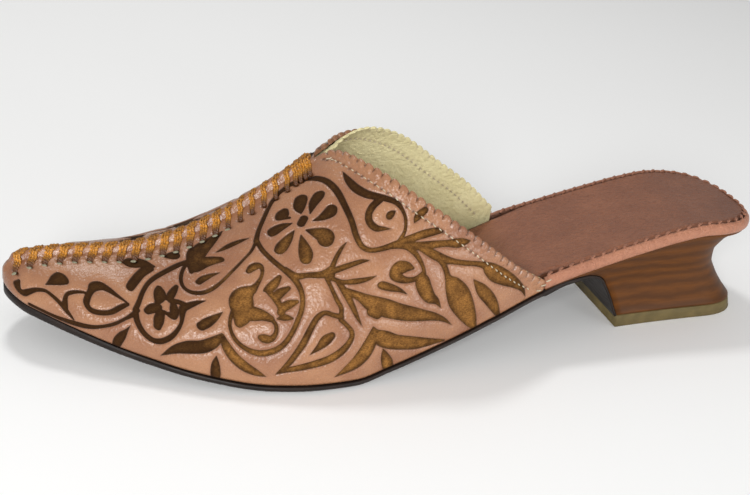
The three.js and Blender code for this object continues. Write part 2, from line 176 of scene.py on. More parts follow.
# The tooled ornament, laid out on the flat quarter. Each stroke is a brush line through points of
# x, height up the wall from the sole, and width.
ORNAMENT = {
    "toe wave": [
        [(244.8, 2.7, 0.6), (246.6, 4.3, 1.6), (248.5, 5.9, 1.5), (250.5, 7, 1.4), (252.5, 7.5, 1.2),
         (255, 6.4, 1.3), (257, 4.7, 1.6), (258.8, 3.1, 1.8), (260.3, 3.7, 2.2), (259.6, 6.4, 0.6)],
        [(240, 13.2, 0.9), (242.5, 12.5, 1), (245, 11, 1.2), (246.6, 9.1, 1.1), (247.2, 5.3, 2)],
        [(247.6, 14.5, 4.2), (249.2, 12.9, 3.2), (251, 10.9, 1.4), (252.4, 9.4, 0.1)],
    ],
    "toe vine": [
        [(226.6, 14.1, 1.4), (228.3, 11.8, 1.3), (230.5, 9.6, 0.9), (233.5, 6.8, 1), (237, 4.4, 1),
         (240, 2.8, 1.4), (244, 1.6, 1.8), (250, 0.8, 1.2), (257, 0.7, 1)],
        [(228.9, 8.4, 0.1), (230.2, 6.2, 1), (231.4, 4.2, 2.2), (232.6, 1.7, 2.6), (233, -0.5, 2.2)],
    ],
    "heart ring": [
        [(229, 15.1, 0.5), (232, 16.4, 1.4), (234.5, 17.5, 2.4), (236.5, 17.8, 3), (238.5, 16.4, 2.8),
         (239.6, 14.2, 1.8), (240.6, 11.6, 1.8), (241, 9.4, 1.9), (239.8, 8.1, 1.9), (237.2, 8.5, 1.6),
         (234.2, 10.1, 1.5), (231.5, 12.8, 1.5), (229.4, 14.8, 1.2)],
    ],
    "club leaf": [
        [(222, 31.7, 3), (224.5, 28.2, 2.6), (226.5, 24.6, 2.6), (228, 21.6, 2.4), (228.3, 20.8, 2)],
        [(220.6, 32.9, 1.2), (223.5, 33.5, 3.6), (226, 32.6, 4.6), (227.5, 31.6, 3.6)],
        [(213.4, 41.5, 1.8), (214.2, 40, 3.4), (216, 39.1, 2.2), (217.8, 39.3, 0.6)],
    ],
    "long vine": [
        [(190.6, 47.5, 1), (192.5, 43.5, 0.9), (195, 40.3, 0.8), (199, 35.3, 0.9), (202, 31.5, 1),
         (205, 28.3, 1.2), (208, 26.3, 1.4), (211, 25.8, 1.5), (213, 27.1, 1.3), (213.4, 29.9, 1.2),
         (212.6, 33.4, 1.1), (211, 37.1, 1.1)],
        [(210.6, 37.9, 1.6), (213.5, 35.7, 1.7), (217, 32.2, 1.6), (220.5, 28.3, 1.5), (223, 24.7, 1.3),
         (224.8, 20.7, 1.3), (226.2, 16.6, 1.4), (227.4, 13.6, 1.5)],
    ],
    "tulip leaves": [
        [(199.2, 52.5, 0.4), (202, 49.2, 2.6), (205, 45.6, 4.2), (207.6, 42, 5.2), (209, 38.4, 4),
         (209.9, 35.4, 2.2), (210.2, 33.4, 1.2)],
        [(201.4, 39.8, 2.2), (203.6, 39.2, 3.2), (206.5, 38, 4.2), (208.8, 35.9, 4), (210.2, 33.7, 1.2)],
        [(202.2, 34.6, 0.2), (204.5, 33.4, 1.2), (207, 31.6, 2), (208.6, 29.9, 1.8)],
        [(192.4, 48.5, 0.2), (195, 47.5, 1.3), (198, 45.8, 1.7), (200.5, 43.9, 1.1), (202.6, 42.4, 0.1)],
    ],
    "small flower": [
        [(214.9, 26.8, 1.2), (215.8, 25, 1.9), (216.8, 23, 2.2), (217.6, 21.2, 1.8)],
        [(219.8, 24.4, 1.8), (219.8, 22.6, 3.4), (220.2, 20.9, 3.2), (220.8, 19.1, 1.8)],
        [(220.8, 17.6, 2.4), (222.4, 16.3, 2.8), (224, 14.7, 2)],
        [(220.1, 16, 2.2), (220.9, 13.3, 2.9), (221.5, 10.9, 2.2)],
        [(216.4, 20.2, 1.8), (216.4, 17.8, 2.6), (216.9, 15.6, 1.8), (219.2, 16.4, 1.2)],
        [(212.8, 20.7, 1.8), (214.8, 21.2, 1.8), (217.2, 20.8, 1.8)],
        [(218.7, 21.2, 1.1), (220.6, 20.4, 1.1), (221.2, 18.6, 1.1), (220.6, 16.9, 1.1), (218.8, 16.1, 1.1),
         (217, 16.9, 1.1), (216.3, 18.6, 1.1), (217, 20.5, 1.1), (218.7, 21.2, 1.1)],
    ],
    "flower ring": [
        [(207.2, 23.8, 0.2), (209.8, 22.5, 1.4), (212.4, 20.7, 2), (214, 19.1, 2.2), (214.6, 15, 1.1),
         (216, 11.8, 1.2), (218, 9, 1.5), (220.5, 6.9, 1.7), (223, 6.3, 1.8), (225.5, 7.7, 1.9),
         (227, 10.4, 1.9), (227.2, 13.2, 1.7)],
        [(202.8, 21.2, 0.2), (205, 19, 1.8), (207.4, 16.8, 2.8), (209.3, 15.1, 2.6)],
    ],
    "low leaves": [
        [(190.9, 3.2, 0.3), (194, 4.3, 2.4), (197.5, 5.9, 3.4), (200.5, 8.2, 3.4), (202.6, 11.2, 2.8),
         (203.4, 14, 1)],
        [(203.6, 14.2, 0.8), (205.6, 11.6, 3), (209, 9.1, 3.8), (213, 7.7, 3.8), (217, 5.6, 2.4),
         (220.9, 2.1, 0.1)],
        [(205.3, 7.4, 0.2), (205.5, 4.5, 2.4), (205.4, 1.5, 3), (205.2, -0.5, 2.5)],
    ],
    "fruit loop": [
        [(190.6, 47.6, 1.4), (189.6, 43.8, 1.6), (187.2, 40, 1.7), (184, 36.4, 1.8), (181.3, 33, 2),
         (180, 29, 1.6), (180.3, 25, 1.6), (181.8, 21, 1.6), (184, 16.6, 1.6), (186.6, 13.3, 1.8),
         (190, 11.3, 2), (193.5, 10.6, 2), (197, 11.4, 1.6), (199.8, 13.4, 1.4), (201.1, 16.5, 1.1),
         (200.9, 19.5, 1.1), (199.8, 22.5, 1.4)],
        [(194.3, 36, 1.6), (193, 37.4, 2.4), (191.4, 38.2, 2.2), (190.5, 37.4, 1.4), (190.7, 35, 1),
         (192.3, 32, 1.4), (194, 29.8, 2.6)],
        [(193.9, 30.2, 2.2), (196.3, 28, 5), (197.4, 25, 7), (197.6, 21.5, 5.5), (198.6, 18.6, 2.6)],
        [(189.4, 21.4, 2.2), (192, 22.3, 3.6), (195, 22.4, 5)],
        [(189.4, 21.4, 1.4), (188.1, 19.6, 1.3), (188.2, 17.2, 1.4), (189.6, 15.4, 2), (191.4, 15.2, 2.8),
         (192.6, 15.4, 1.8)],
    ],
    "comb leaf": [
        [(185.9, 34.5, 1.4), (187.4, 32.5, 2.6), (189, 30.8, 2.6), (190.6, 29.9, 0.8)],
        [(183.7, 31, 1.4), (186, 29.6, 2.7), (187.4, 28.2, 2.8)],
        [(181.7, 26.9, 1.4), (184, 26, 2.7), (185.8, 24.8, 2.7), (186.6, 23.4, 2)],
        [(183.2, 21.8, 0.8), (185.4, 22, 2.1), (187.6, 21.5, 0.5)],
        [(189.6, 29.9, 1.8), (187.8, 27.8, 2.2), (186.6, 25.4, 2), (186, 23, 1.8)],
    ],
    "great loop": [
        [(150, 40.3, 2.4), (155, 40.6, 1.8), (159, 41.3, 1.6), (161.6, 43.1, 1.8), (163, 46.5, 1.9),
         (163.8, 51, 1.9), (165.3, 57, 2), (166.8, 62.5, 2.2), (169, 66.8, 2.2), (172, 69.2, 2.3),
         (175, 70, 2.2), (178.5, 68.8, 1.8), (181.8, 66, 1.5), (184.4, 62.3, 1.3), (187.2, 56.5, 1.3),
         (189.6, 51, 1.3), (190.8, 47, 1.6)],
        [(171, 34.9, 2), (175, 34.8, 1.7), (178, 35, 1.7), (181.3, 34.8, 2.2), (184, 37, 1.7)],
        [(170.6, 37.4, 1.2), (174, 35.8, 0.9), (178, 35.5, 0.9)],
    ],
    "great flower": [
        [(176.8, 53.8, 2.4), (177.8, 52.1, 2.4)],
        [(174.9, 55.3, 0.5), (173.6, 58.6, 2.5), (171.8, 61.2, 3.2), (171, 62, 2.4)],
        [(177.3, 55.8, 0.5), (177.4, 58.2, 3.2), (176.6, 60.8, 3.7), (176.2, 61.6, 3.2)],
        [(180.6, 54.8, 1), (183.7, 54.8, 1), (182.4, 56.2, 3.6), (181.4, 57.8, 2.2)],
        [(180.2, 52.6, 0.4), (183, 51.8, 2.4), (185.6, 50.3, 3.1), (186.3, 49.4, 2.1)],
        [(180, 49.9, 0.4), (182, 47.2, 2.5), (184, 44.6, 3.5), (184.9, 43.4, 3)],
        [(178.4, 48.4, 0.2), (178.1, 45, 2.7), (177.8, 42, 4.1), (178, 40.2, 3.5)],
        [(176.6, 49.6, 0.8), (174, 48.4, 3.4), (171.9, 47.2, 5.2), (171.8, 46, 4.8)],
        [(174.6, 52.6, 0.3), (172, 53.4, 2.2), (169.6, 54.8, 3.7), (168.9, 55.8, 3.3)],
    ],
    "twigs": [
        [(166, 44.6, 0.3), (167.6, 42.8, 1.1), (169.4, 40, 1.4), (170.8, 37.2, 1.6), (172.5, 35.4, 2)],
        [(159.2, 38.3, 0.2), (162, 38.4, 1.4), (166, 37.4, 1.8), (170, 36.2, 2), (173, 35.2, 2)],
        [(157.4, 33, 0.2), (160, 32.8, 1.3), (164, 32.5, 1.9), (168, 32.6, 1.4), (171.5, 34, 1.6)],
        [(172.6, 34, 1.4), (171.4, 31, 1.3), (170, 27.5, 1.5), (168.6, 24.6, 1.5), (168.8, 22, 1.6)],
        [(169.5, 32.8, 1.4), (167.5, 29.8, 2.2), (165.4, 25.6, 2), (163.6, 21.6, 1.3), (161.8, 18.3, 0.1)],
        [(129.6, 5.5, 0.2), (133, 9, 1.4), (137, 11.9, 2.6), (141, 14.1, 3.6), (146, 16.8, 4.6),
         (151, 19.7, 5), (155, 22.4, 5.2), (159, 25.1, 4.6), (163, 27.9, 2.8), (167.5, 30, 2)],
        [(156.5, 21.1, 3.6), (158.6, 22.9, 4)],
    ],
    "heart leaf": [
        [(168.6, 22, 1.8), (171, 22.7, 1.6), (173.6, 23.5, 1.6), (176, 22, 1.9), (178.2, 18.4, 2),
         (180.2, 14.4, 2.2), (182.4, 11, 2), (184.8, 7.6, 1.8), (188.2, 4.2, 0.2)],
        [(188.2, 4.2, 0.2), (185, 5.7, 1.7), (181, 6.6, 2.2), (176, 7.8, 2.6), (171.5, 9.2, 2.8),
         (167.8, 11.6, 2.6), (165.4, 14.8, 1.9), (165.3, 17.2, 1.6), (167, 19.4, 1.5), (168.8, 21.2, 1.6)],
        [(171.6, 16.4, 2.4), (173.4, 15.1, 3.4), (175.3, 13.2, 2.2), (178.3, 10.7, 0.1)],
    ],
    "swept leaves": [
        [(131.5, 0.6, 0.6), (136, 2.3, 2.4), (141, 4.3, 4), (146, 6.8, 4.6), (150.5, 9.1, 4.8),
         (154.5, 12.1, 4.8), (157.2, 14.7, 3), (158.2, 17.3, 0.6)],
        [(158.2, 17.3, 0.6), (158.6, 13.3, 4.2), (160.2, 9.7, 5.4), (162.8, 6.8, 4.6), (166, 4.6, 2.8),
         (169.9, 2.2, 0.1)],
        [(154.2, 8.6, 0.2), (153.2, 5.3, 2.6), (151.8, 2, 3.6), (150.8, -0.8, 3.4)],
    ],
    "curled leaf": [
        [(145.2, 31, 0.8), (147.6, 32.2, 3.2), (150.2, 32.7, 4.6), (151.2, 31.7, 4), (150, 29.7, 2.8),
         (147.5, 28.1, 2), (144.5, 27.4, 1.8), (142, 27.8, 2.4)],
        [(134.6, 13.8, 0.2), (136.4, 16.8, 1.8), (138.8, 19.1, 3.4), (140.6, 22.1, 4.4), (142, 25.4, 4.6),
         (143.2, 27.2, 2.6)],
        [(141.4, 27.1, 1.6), (141.9, 30.1, 1.2), (143.5, 33.6, 1.5), (145.5, 36.6, 1.8), (148, 39.1, 2.4),
         (152, 40.4, 2.2)],
        [(147, 23.5, 0.2), (149.6, 25.7, 1.3), (152.6, 27.6, 2.2), (155.4, 29.4, 2.4), (156.4, 30, 1.6)],
    ],
    "collar fan": [
        [(135.6, 38.9, 1), (138, 39.8, 2.4), (142, 40.4, 2.8), (146, 40.5, 2.6), (150, 40.5, 2.4)],
        [(126.4, 32.2, 1.2), (129.5, 33, 3), (134, 34.6, 2.2), (139, 36.1, 2.4), (144, 37.8, 2),
         (148, 39.3, 2)],
        [(101.2, 1.2, 0.2), (103.2, 5.2, 1.6), (106.5, 9, 3), (110.5, 12.7, 4.4), (114.5, 16.2, 5),
         (117.5, 19.3, 4), (119.6, 21.5, 2.2), (123, 23.6, 1.7), (127, 25.5, 1.7), (131, 27.6, 1.8),
         (135, 30, 2.6), (139, 33.3, 2.6), (143, 36.6, 1.8), (146, 38.6, 1.8)],
        [(111.2, -0.5, 1.4), (113.4, 3.8, 3), (116.2, 8.4, 3.8), (119.6, 13, 3.6), (122, 16.4, 1.8),
         (123.6, 18.8, 0.1)],
        [(120.2, -0.4, 1.6), (122.6, 4.2, 4.4), (125.6, 9.8, 6.6), (128.4, 14.9, 7.4), (130.8, 19.4, 5.4),
         (132.8, 22.8, 2.4), (133.8, 25.8, 1.8), (135.4, 29.4, 2), (138, 32.3, 2.2)],
        [(141.6, 47.4, 2.6), (143.4, 46.6, 2.8), (144.6, 45.2, 0.8)],
    ],
    "scroll": [
        [(163.8, 68.8, 0.2), (163, 65.4, 2), (161.4, 61.9, 2.8), (158.8, 59.1, 2.6), (156, 57.2, 2.2),
         (152.6, 55, 1.8), (149.8, 52.7, 1.6), (148.2, 49.7, 1.1), (147.5, 46.7, 1.1), (147.9, 43.5, 1.2),
         (149.4, 41.3, 1.8)],
        [(154.5, 55.8, 2.4), (157, 54.6, 2.6), (158.6, 52.5, 2.3), (158.6, 49.8, 2.2), (156.8, 47.4, 2),
         (154.4, 46.4, 1.2), (152.2, 45.5, 0.2)],
        [(150.9, 50.3, 1), (152.2, 49.8, 2.8)],
    ],
}


# ---------------------------------------------------------------- the last, as the frame has it
def curve_of(table, column):
    """Smooth curve through one column of a table that never overshoots its rows."""
    x, y = table[:, 0], table[:, column]
    slope = np.diff(y) / np.diff(x)
    tangent = np.empty(len(x))
    tangent[0], tangent[-1] = slope[0], slope[-1]
    product = slope[:-1] * slope[1:]
    total = slope[:-1] + slope[1:]
    tangent[1:-1] = np.where(product > 0, 2 * product / np.where(product > 0, total, 1), 0)

    def read(at):
        at = np.clip(np.asarray(at, float), x[0], x[-1])
        i = np.clip(np.searchsorted(x, at) - 1, 0, len(x) - 2)
        width = x[i + 1] - x[i]
        t = (at - x[i]) / width
        rise = (1 + 2 * t) * (1 - t) ** 2 * y[i] + t * (1 - t) ** 2 * width * tangent[i]
        return rise + t * t * (3 - 2 * t) * y[i + 1] + t * t * (t - 1) * width * tangent[i + 1]

    return read


plan_centre, plan_half = curve_of(PLAN, 1), curve_of(PLAN, 2)
underside, seat_top = curve_of(UNDERSIDE, 1), curve_of(SEAT, 1)
seam_height, seam_middle, bulge, side_share, crown_share = (curve_of(SECTIONS, k) for k in range(1, 6))
heel_front, heel_rise, heel_back, heel_inset, heel_shift = (curve_of(HEEL, k) for k in range(1, 6))
collar_x = curve_of(COLLAR, 1)
collar_share = {LATERAL: curve_of(COLLAR, 2), MEDIAL: curve_of(COLLAR, 3)}


def mix(a, b, t):
    return a + (b - a) * t


def step_up(value, low, high):
    """Smooth step from 0 at low to 1 at high."""
    t = np.clip((np.asarray(value, float) - low) / (high - low), 0, 1)
    return t * t * (3 - 2 * t)


def edge(x, side, inset=0.0):
    """Edge of the sole on one side, drawn in by an inset."""
    toe = np.clip((x - (LENGTH - inset - TIP_RADIUS)) / TIP_RADIUS, 0, 1)
    heel = np.clip((SEAT_RADIUS + inset - x) / SEAT_RADIUS, 0, 1)
    rounding = np.sqrt(1 - toe * toe) * (1 - heel ** SEAT_POWER) ** (1 / SEAT_POWER)
    return plan_centre(x) + side * (plan_half(x) - inset) * rounding


def sole_top(x):
    return underside(x) + mix(SOLE, TOE_SOLE, np.clip((x - SET_BACK_FROM) / (LENGTH - SET_BACK_FROM), 0, 1))


def deck(x):
    """Top of the heel and shank, which the insole lies on."""
    return np.where(x < SHANK_END, np.maximum(sole_top(x), seat_top(x) - RAND_HEIGHT), sole_top(x))


def set_back(x):
    """How far the outsole stands back under the upper's pointed toe."""
    return TOE_SET_BACK * np.clip((x - SET_BACK_FROM) / (LENGTH - TOE_SET_BACK - SET_BACK_FROM), 0, 1)


def insole_top(x):
    t = np.clip((x - QUARTER_END) / (FOREFOOT_INSOLE_FROM - QUARTER_END), 0, 1)
    return deck(x) + mix(RAND_HEIGHT, INSOLE, t)


def upper_point(x, share, side):
    """Outer face of the upper: share is 0 at the sole and 1 at the centre seam."""
    foot = edge(x, side, WELT)
    low = sole_top(x) + GAP
    middle = seam_middle(x)
    high = seam_height(x)
    belly = bulge(x) * np.minimum(1, np.abs(foot - middle) / BELLY_FROM)
    flat = np.clip((MEDIAL_CROWN_FROM - x) / MEDIAL_CROWN_RUN, 0, 1) if side == MEDIAL else 0
    y = (foot, foot + side * belly, mix(middle, foot, crown_share(x) + MEDIAL_CROWN * flat), middle)
    z = (low, mix(low, high, side_share(x)), high, high)
    s = 1 - share
    weight = (s ** 3, 3 * s * s * share, 3 * s * share * share, share ** 3)
    return np.stack(np.broadcast_arrays(x, sum(w * v for w, v in zip(weight, y)),
                                        sum(w * v for w, v in zip(weight, z))), axis=-1)


def upper_normal(x, share, side):
    front = np.minimum(x, LENGTH - 2 * WELT)
    near = np.clip(share, 0.02, 0.98)
    along = upper_point(front + 0.5, near, side) - upper_point(front - 0.5, near, side)
    up = upper_point(front, near + 0.02, side) - upper_point(front, near - 0.02, side)
    normal = np.cross(along, up) * -side
    return normal / np.linalg.norm(normal, axis=-1, keepdims=True)


SHARES = np.linspace(0, 1, 241)


def girths(x, side):
    """Distance up the wall from the sole at each of SHARES, one row for each x."""
    points = upper_point(np.atleast_1d(x)[:, None], SHARES[None, :], side)
    steps = np.linalg.norm(np.diff(points, axis=1), axis=2)
    return np.concatenate([np.zeros((len(points), 1)), np.cumsum(steps, axis=1)], axis=1)


def collar_share_at(x, side):
    """Share of the wall where the collar crosses it; 1 in front of the throat."""
    steps = np.linspace(1, 0, 301)
    return np.where(x >= THROAT, 1.0, np.interp(x, collar_x(steps), collar_share[side](steps)))


# The frame's metres: the toe ends at the frame's front, and the sole's widest place on the
# lateral side is the frame's side.
WIDEST = edge(np.linspace(QUARTER_END, LENGTH, 600), LATERAL).max()
OFFSET = np.array([CAD_BOX[1][0] / MM - (LENGTH - WELT), CAD_BOX[1][1] / MM - WIDEST, 0.0])


def place(points):
    return (np.asarray(points, float) + OFFSET) * MM


# ---------------------------------------------------------------- mesh helpers
class Shell:
    """Collects points and faces, with one number per point for each named attribute."""

    def __init__(self):
        self.points, self.faces, self.marks, self.count = [], [], {}, 0

    def add(self, points, faces, **marks):
        points = np.asarray(points, float).reshape(-1, 3)
        self.faces += [tuple(int(k) + self.count for k in face) for face in faces]
        for name, values in marks.items():
            self.marks.setdefault(name, []).append((self.count, np.broadcast_to(values, len(points))))
        self.points.append(points)
        self.count += len(points)

    def values(self, name, kind):
        """One number per point of a mark, 0 where none was given."""
        values = np.zeros(self.count, kind)
        for start, part in self.marks[name]:
            values[start:start + len(part)] = part
        return values

    def piece(self, name, material, slot, *nodes, second=None, choose=None):
        """Makes the object, which rides on the shoe and stands for the named frame nodes. Faces whose
        points are all below 0 in the mark named by choose take the second material."""
        mesh = bpy.data.meshes.new(name)
        mesh.from_pydata(place(np.concatenate(self.points)).tolist(), [], self.faces)
        for name_of_mark in self.marks:
            values = self.values(name_of_mark, np.float32)
            mesh.attributes.new(name_of_mark, "FLOAT", "POINT").data.foreach_set("value", values)
        mesh.polygons.foreach_set("use_smooth", [True] * len(mesh.polygons))
        mesh.materials.append(material)
        if second:
            mesh.materials.append(second)
            values = self.values(choose, float)
            inside = [int(max(values[k] for k in face) < 0) for face in self.faces]
            mesh.polygons.foreach_set("material_index", inside)
        mesh.validate()
        mesh.update()
        made = bpy.data.objects.new(name, mesh)
        bpy.context.scene.collection.objects.link(made)
        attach(made, "root")
        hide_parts(*nodes)
        return made


def sheet_faces(rows, columns, flip=False):
    """Quads over a sheet of rows x columns points."""
    i, j = np.meshgrid(np.arange(rows - 1), np.arange(columns - 1), indexing="ij")
    a = (i * columns + j).ravel()
    quads = np.stack([a, a + columns, a + columns + 1, a + 1], axis=1)
    return (quads[:, ::-1] if flip else quads).tolist()


def loft(rings, flip=False):
    """Closed body through rings of points, each ring closed on itself, with both ends capped."""
    rings = np.asarray(rings, float)
    count, size = rings.shape[:2]
    faces = []
    for i in range(count - 1):
        for j in range(size):
            k = (j + 1) % size
            faces.append((i * size + j, (i + 1) * size + j, (i + 1) * size + k, i * size + k))
    faces.append(tuple(range(size)))
    faces.append(tuple(reversed(range((count - 1) * size, count * size))))
    if flip:
        faces = [tuple(reversed(face)) for face in faces]
    return rings.reshape(-1, 3), faces


def unit(vectors):
    return vectors / np.maximum(np.linalg.norm(vectors, axis=-1, keepdims=True), 1e-9)


def tube(path, radii, sides=6, up=(0.0, 0.0, 1.0)):
    """Round tube along a path with the given radii, capped at both ends."""
    path = np.asarray(path, float)
    along = unit(np.gradient(path, axis=0))
    across = unit(np.cross(along, np.broadcast_to(np.asarray(up, float), path.shape)))
    lift = np.cross(across, along)
    turn = np.linspace(0, 2 * math.pi, sides, endpoint=False)
    cos, sin = np.cos(turn)[None, :, None], np.sin(turn)[None, :, None]
    ring = cos * across[:, None, :] + sin * lift[:, None, :]
    return loft(path[:, None, :] + ring * np.asarray(radii, float)[:, None, None])


CAPSULE = np.array([0.25, 0.8, 1.0, 1.0, 0.8, 0.25])
CAPSULE_AT = np.array([0.0, 0.08, 0.3, 0.7, 0.92, 1.0])


def stitch(start, end, up, radius, arch=0.0):
    """One stitch of thread from start to end, arched off the leather along up."""
    start, end, up = (np.asarray(v, float) for v in (start, end, up))
    rise = arch * np.sin(CAPSULE_AT * math.pi)
    path = start + (end - start) * CAPSULE_AT[:, None] + up * rise[:, None]
    return tube(path, CAPSULE * radius, 6, up)


def bead(centre, long_way, wide_way, up, radii):
    """Oval button of the three radii on the leather."""
    turn = np.linspace(0, 2 * math.pi, 10, endpoint=False)
    rings = []
    for tilt in np.linspace(-0.3, math.pi / 2 - 0.15, 5):
        flat = np.cos(turn)[:, None] * long_way * radii[0] + np.sin(turn)[:, None] * wide_way * radii[1]
        rings.append(centre + flat * math.cos(tilt) + up * radii[2] * math.sin(tilt))
    return loft(rings)


# ---------------------------------------------------------------- places on the quarters
def wall_place(x, h, side):
    """Point, normal, direction toward the toe and direction up the wall at height h."""
    row = girths(np.array([x]), side)[0]
    share = np.interp(h, row, SHARES)
    point = upper_point(np.array([x]), np.array([share]), side)[0]
    normal = upper_normal(np.array([x]), np.array([share]), side)[0]
    rise = unit(upper_point(x, min(share + 0.01, 1), side) - upper_point(x, max(share - 0.01, 0), side))
    return point, normal, unit(np.cross(normal, rise) * side), rise


def wall_top(x, side):
    """Height up the wall, along the leather, of the collar or the seam."""
    rows = girths(x, side)
    share = collar_share_at(np.atleast_1d(x), side)
    return np.array([np.interp(s, SHARES, row) for s, row in zip(share, rows)])


class Rim:
    """The quarter's upper edge: its heights, slope and length from the quarter's end."""

    def __init__(self, side):
        self.side = side
        self.x = np.linspace(QUARTER_END, LENGTH - WELT, 700)
        self.top = wall_top(self.x, side)
        share = collar_share_at(self.x, side)
        points = upper_point(self.x, share, side)
        steps = np.linalg.norm(np.diff(points, axis=0), axis=1)
        self.run = np.concatenate([[0], np.cumsum(steps)])
        self.slope = np.gradient(self.top, self.x)
        self.throat = float(np.interp(THROAT, self.x, self.run))

    def top_at(self, x):
        return np.interp(x, self.x, self.top)

    def run_at(self, x):
        return np.interp(x, self.x, self.run)

    def slope_at(self, x):
        return np.where(np.asarray(x) < THROAT, np.interp(x, self.x, self.slope), 0)

    def x_at(self, run):
        return np.interp(run, self.run, self.x)


RIM = {side: Rim(side) for side in (LATERAL, MEDIAL)}

SCALLOP_PITCH = 3.3
SCALLOP_DEPTH = 0.85
SCALLOP_SWELL = 0.6
LOBE_LENGTH = 2.6
GAP_LENGTH = 2.1
GAP_LEAN = 0.5
STITCH_BELOW = 4.3
STITCH_PITCH = 2.35
STITCH_LENGTH = 1.15
LACE_PITCH = 4.4
LACE_REACH = 6.9
LACE_REACH_TOE = 5.2
LACE_SLANT = 1.4
LACE_CROSSING = 0.8
DOTS_FROM = 197
RIDGE_HEIGHT = 2.4
RIDGE_HALF = 1.9
RIDGE_PINCHED = 0.74
RIDGE_SQUARENESS = 2.6
SEAM_GROOVE = 0.4
SEAM_GROOVE_HALF = 0.35
LACE_HOLE = 0.85
LACE_HOLE_DEPTH = 0.9
STITCH_HOLE = 0.45
STITCH_HOLE_DEPTH = 0.35
TOOLING_REACH = 3.0
QUARTER_BELOW = {LATERAL: 0, MEDIAL: 1.8}
THROAT_DROP = 0.9
THROAT_DROP_RUN = 14.0
PUFF_RUN = 1.1
PRESSED_FROM = -0.18
PRESSED_TO = 0.3
MEDIAL_PATTERN_DROP = 2.5
LINING_PROUD = {LATERAL: -0.1, MEDIAL: 1.2}


def lobe(run):
    """0 in the gap between two scallops, 1 in the middle of one."""
    return np.abs(np.sin(math.pi * run / SCALLOP_PITCH))


def lobe_at(rim, x, below):
    """The scallop's swell at a place below the rim; the gaps lean a little back from upright."""
    slope = rim.slope_at(x)
    return lobe(rim.run_at(x) - GAP_LEAN * below * slope / np.hypot(1, slope))


def rim_cut(x, side):
    """How far the scallops cut down into the quarter at x."""
    rim = RIM[side]
    cut = SCALLOP_DEPTH * (1 - lobe(rim.run_at(x)) ** 0.55) * np.hypot(1, rim.slope_at(x))
    return cut * throat_fade(x, side)


def throat_fade(x, side, reach=5.0):
    """1 along the collar, fading to 0 over its last reach of millimetres before the centre seam."""
    rim = RIM[side]
    return step_up(rim.throat - rim.run_at(x), 0.1 * reach, reach)


def lace_holes(side):
    """x and height of each lacing hole, from the throat to the toe. Each lace crosses the seam
    slanting back, so the medial holes lie nearer the throat."""
    rim = RIM[side]
    runs = np.concatenate([rim.throat + np.array([1.6, 3.4, 5.2, 7.0]),
                           np.arange(rim.throat + 10.2, rim.run[-1] - 3.0, LACE_PITCH)])
    if side == MEDIAL:
        runs = np.maximum(runs - LACE_CROSSING * np.minimum(LACE_PITCH, runs - rim.throat), rim.throat + 0.5)
    crest = rim.x_at(runs)
    reach = mix(LACE_REACH, LACE_REACH_TOE, step_up(crest, 215, 245))
    x = np.minimum(crest + LACE_SLANT, LENGTH - WELT - 1.2)
    height = np.maximum(rim.top_at(x) - reach, rim.top_at(x) * 0.45)
    return crest, x, height


def collar_line(side, below=STITCH_BELOW, pitch=STITCH_PITCH):
    """Places along the collar at a distance below its edge: x, height, direction."""
    rim = RIM[side]
    runs = np.arange(5.0, rim.throat - 2.0, pitch)
    x = rim.x_at(runs)
    slope = rim.slope_at(x)
    inward = np.stack([slope, -np.ones_like(slope)], axis=1)
    inward = unit(inward) * below
    way = unit(np.stack([np.ones_like(slope), slope], axis=1))
    return x + inward[:, 0], rim.top_at(x) + inward[:, 1], way


def smooth_stroke(stroke, parts=5):
    """Points of a brush line, rounded through its control points."""
    p = np.array(stroke, float)
    p = np.vstack([2 * p[0] - p[1], p, 2 * p[-1] - p[-2]])
    out = []
    for a, b, c, d in zip(p[:-3], p[1:-2], p[2:-1], p[3:]):
        t = np.linspace(0, 1, parts, endpoint=False)[:, None]
        out.append(0.5 * (2 * b + (c - a) * t + (2 * a - 5 * b + 4 * c - d) * t ** 2
                          + (3 * b - a - 3 * c + d) * t ** 3))
    out = np.vstack(out + [p[-2][None]])
    out[:, 2] = np.maximum(out[:, 2], 0.05)
    return out


def tooling_distance(x, h):
    """Distance of each place from the edge of the nearest tooled stroke, negative inside it."""
    nearest = np.full(len(x), TOOLING_REACH)
    for strokes in ORNAMENT.values():
        for stroke in strokes:
            line = smooth_stroke(stroke)
            low = line[:, :2].min(0) - TOOLING_REACH - line[:, 2].max()
            high = line[:, :2].max(0) + TOOLING_REACH + line[:, 2].max()
            near = np.flatnonzero((x > low[0]) & (x < high[0]) & (h > low[1]) & (h < high[1]))
            if not len(near):
                continue
            at = np.stack([x[near], h[near]], axis=1)
            best = nearest[near]
            for a, b in zip(line[:-1], line[1:]):
                along = b[:2] - a[:2]
                t = np.clip((at - a[:2]) @ along / max(along @ along, 1e-9), 0, 1)
                away = at - a[:2] - t[:, None] * along
                best = np.minimum(best, np.hypot(away[:, 0], away[:, 1]) - (a[2] + (b[2] - a[2]) * t) / 2)
            nearest[near] = best
    return nearest


def dents(x, h, centres, radius):
    """1 in the middle of each hole, falling to 0 at about twice its radius."""
    depth = np.zeros(len(x))
    for cx, ch in centres:
        near = np.flatnonzero((np.abs(x - cx) < 3 * radius) & (np.abs(h - ch) < 3 * radius))
        away = np.hypot(x[near] - cx, h[near] - ch) / radius
        depth[near] = np.maximum(depth[near], np.exp(-away ** 2))
    return depth


def stations(pitch):
    """Distances from the heel for the quarters' columns, closer at the rounded toe."""
    tip = LENGTH - WELT
    body = np.arange(QUARTER_END + 0.5, tip - TIP_RADIUS, pitch)
    turn = np.linspace(0, math.pi / 2, int(TIP_RADIUS * 1.8 / pitch) + 2)[1:]
    return np.concatenate([body, tip - TIP_RADIUS * np.cos(turn)])


def turned(faces, flip):
    """The faces, turned over where flip is set."""
    return [tuple(reversed(face)) for face in faces] if flip else faces


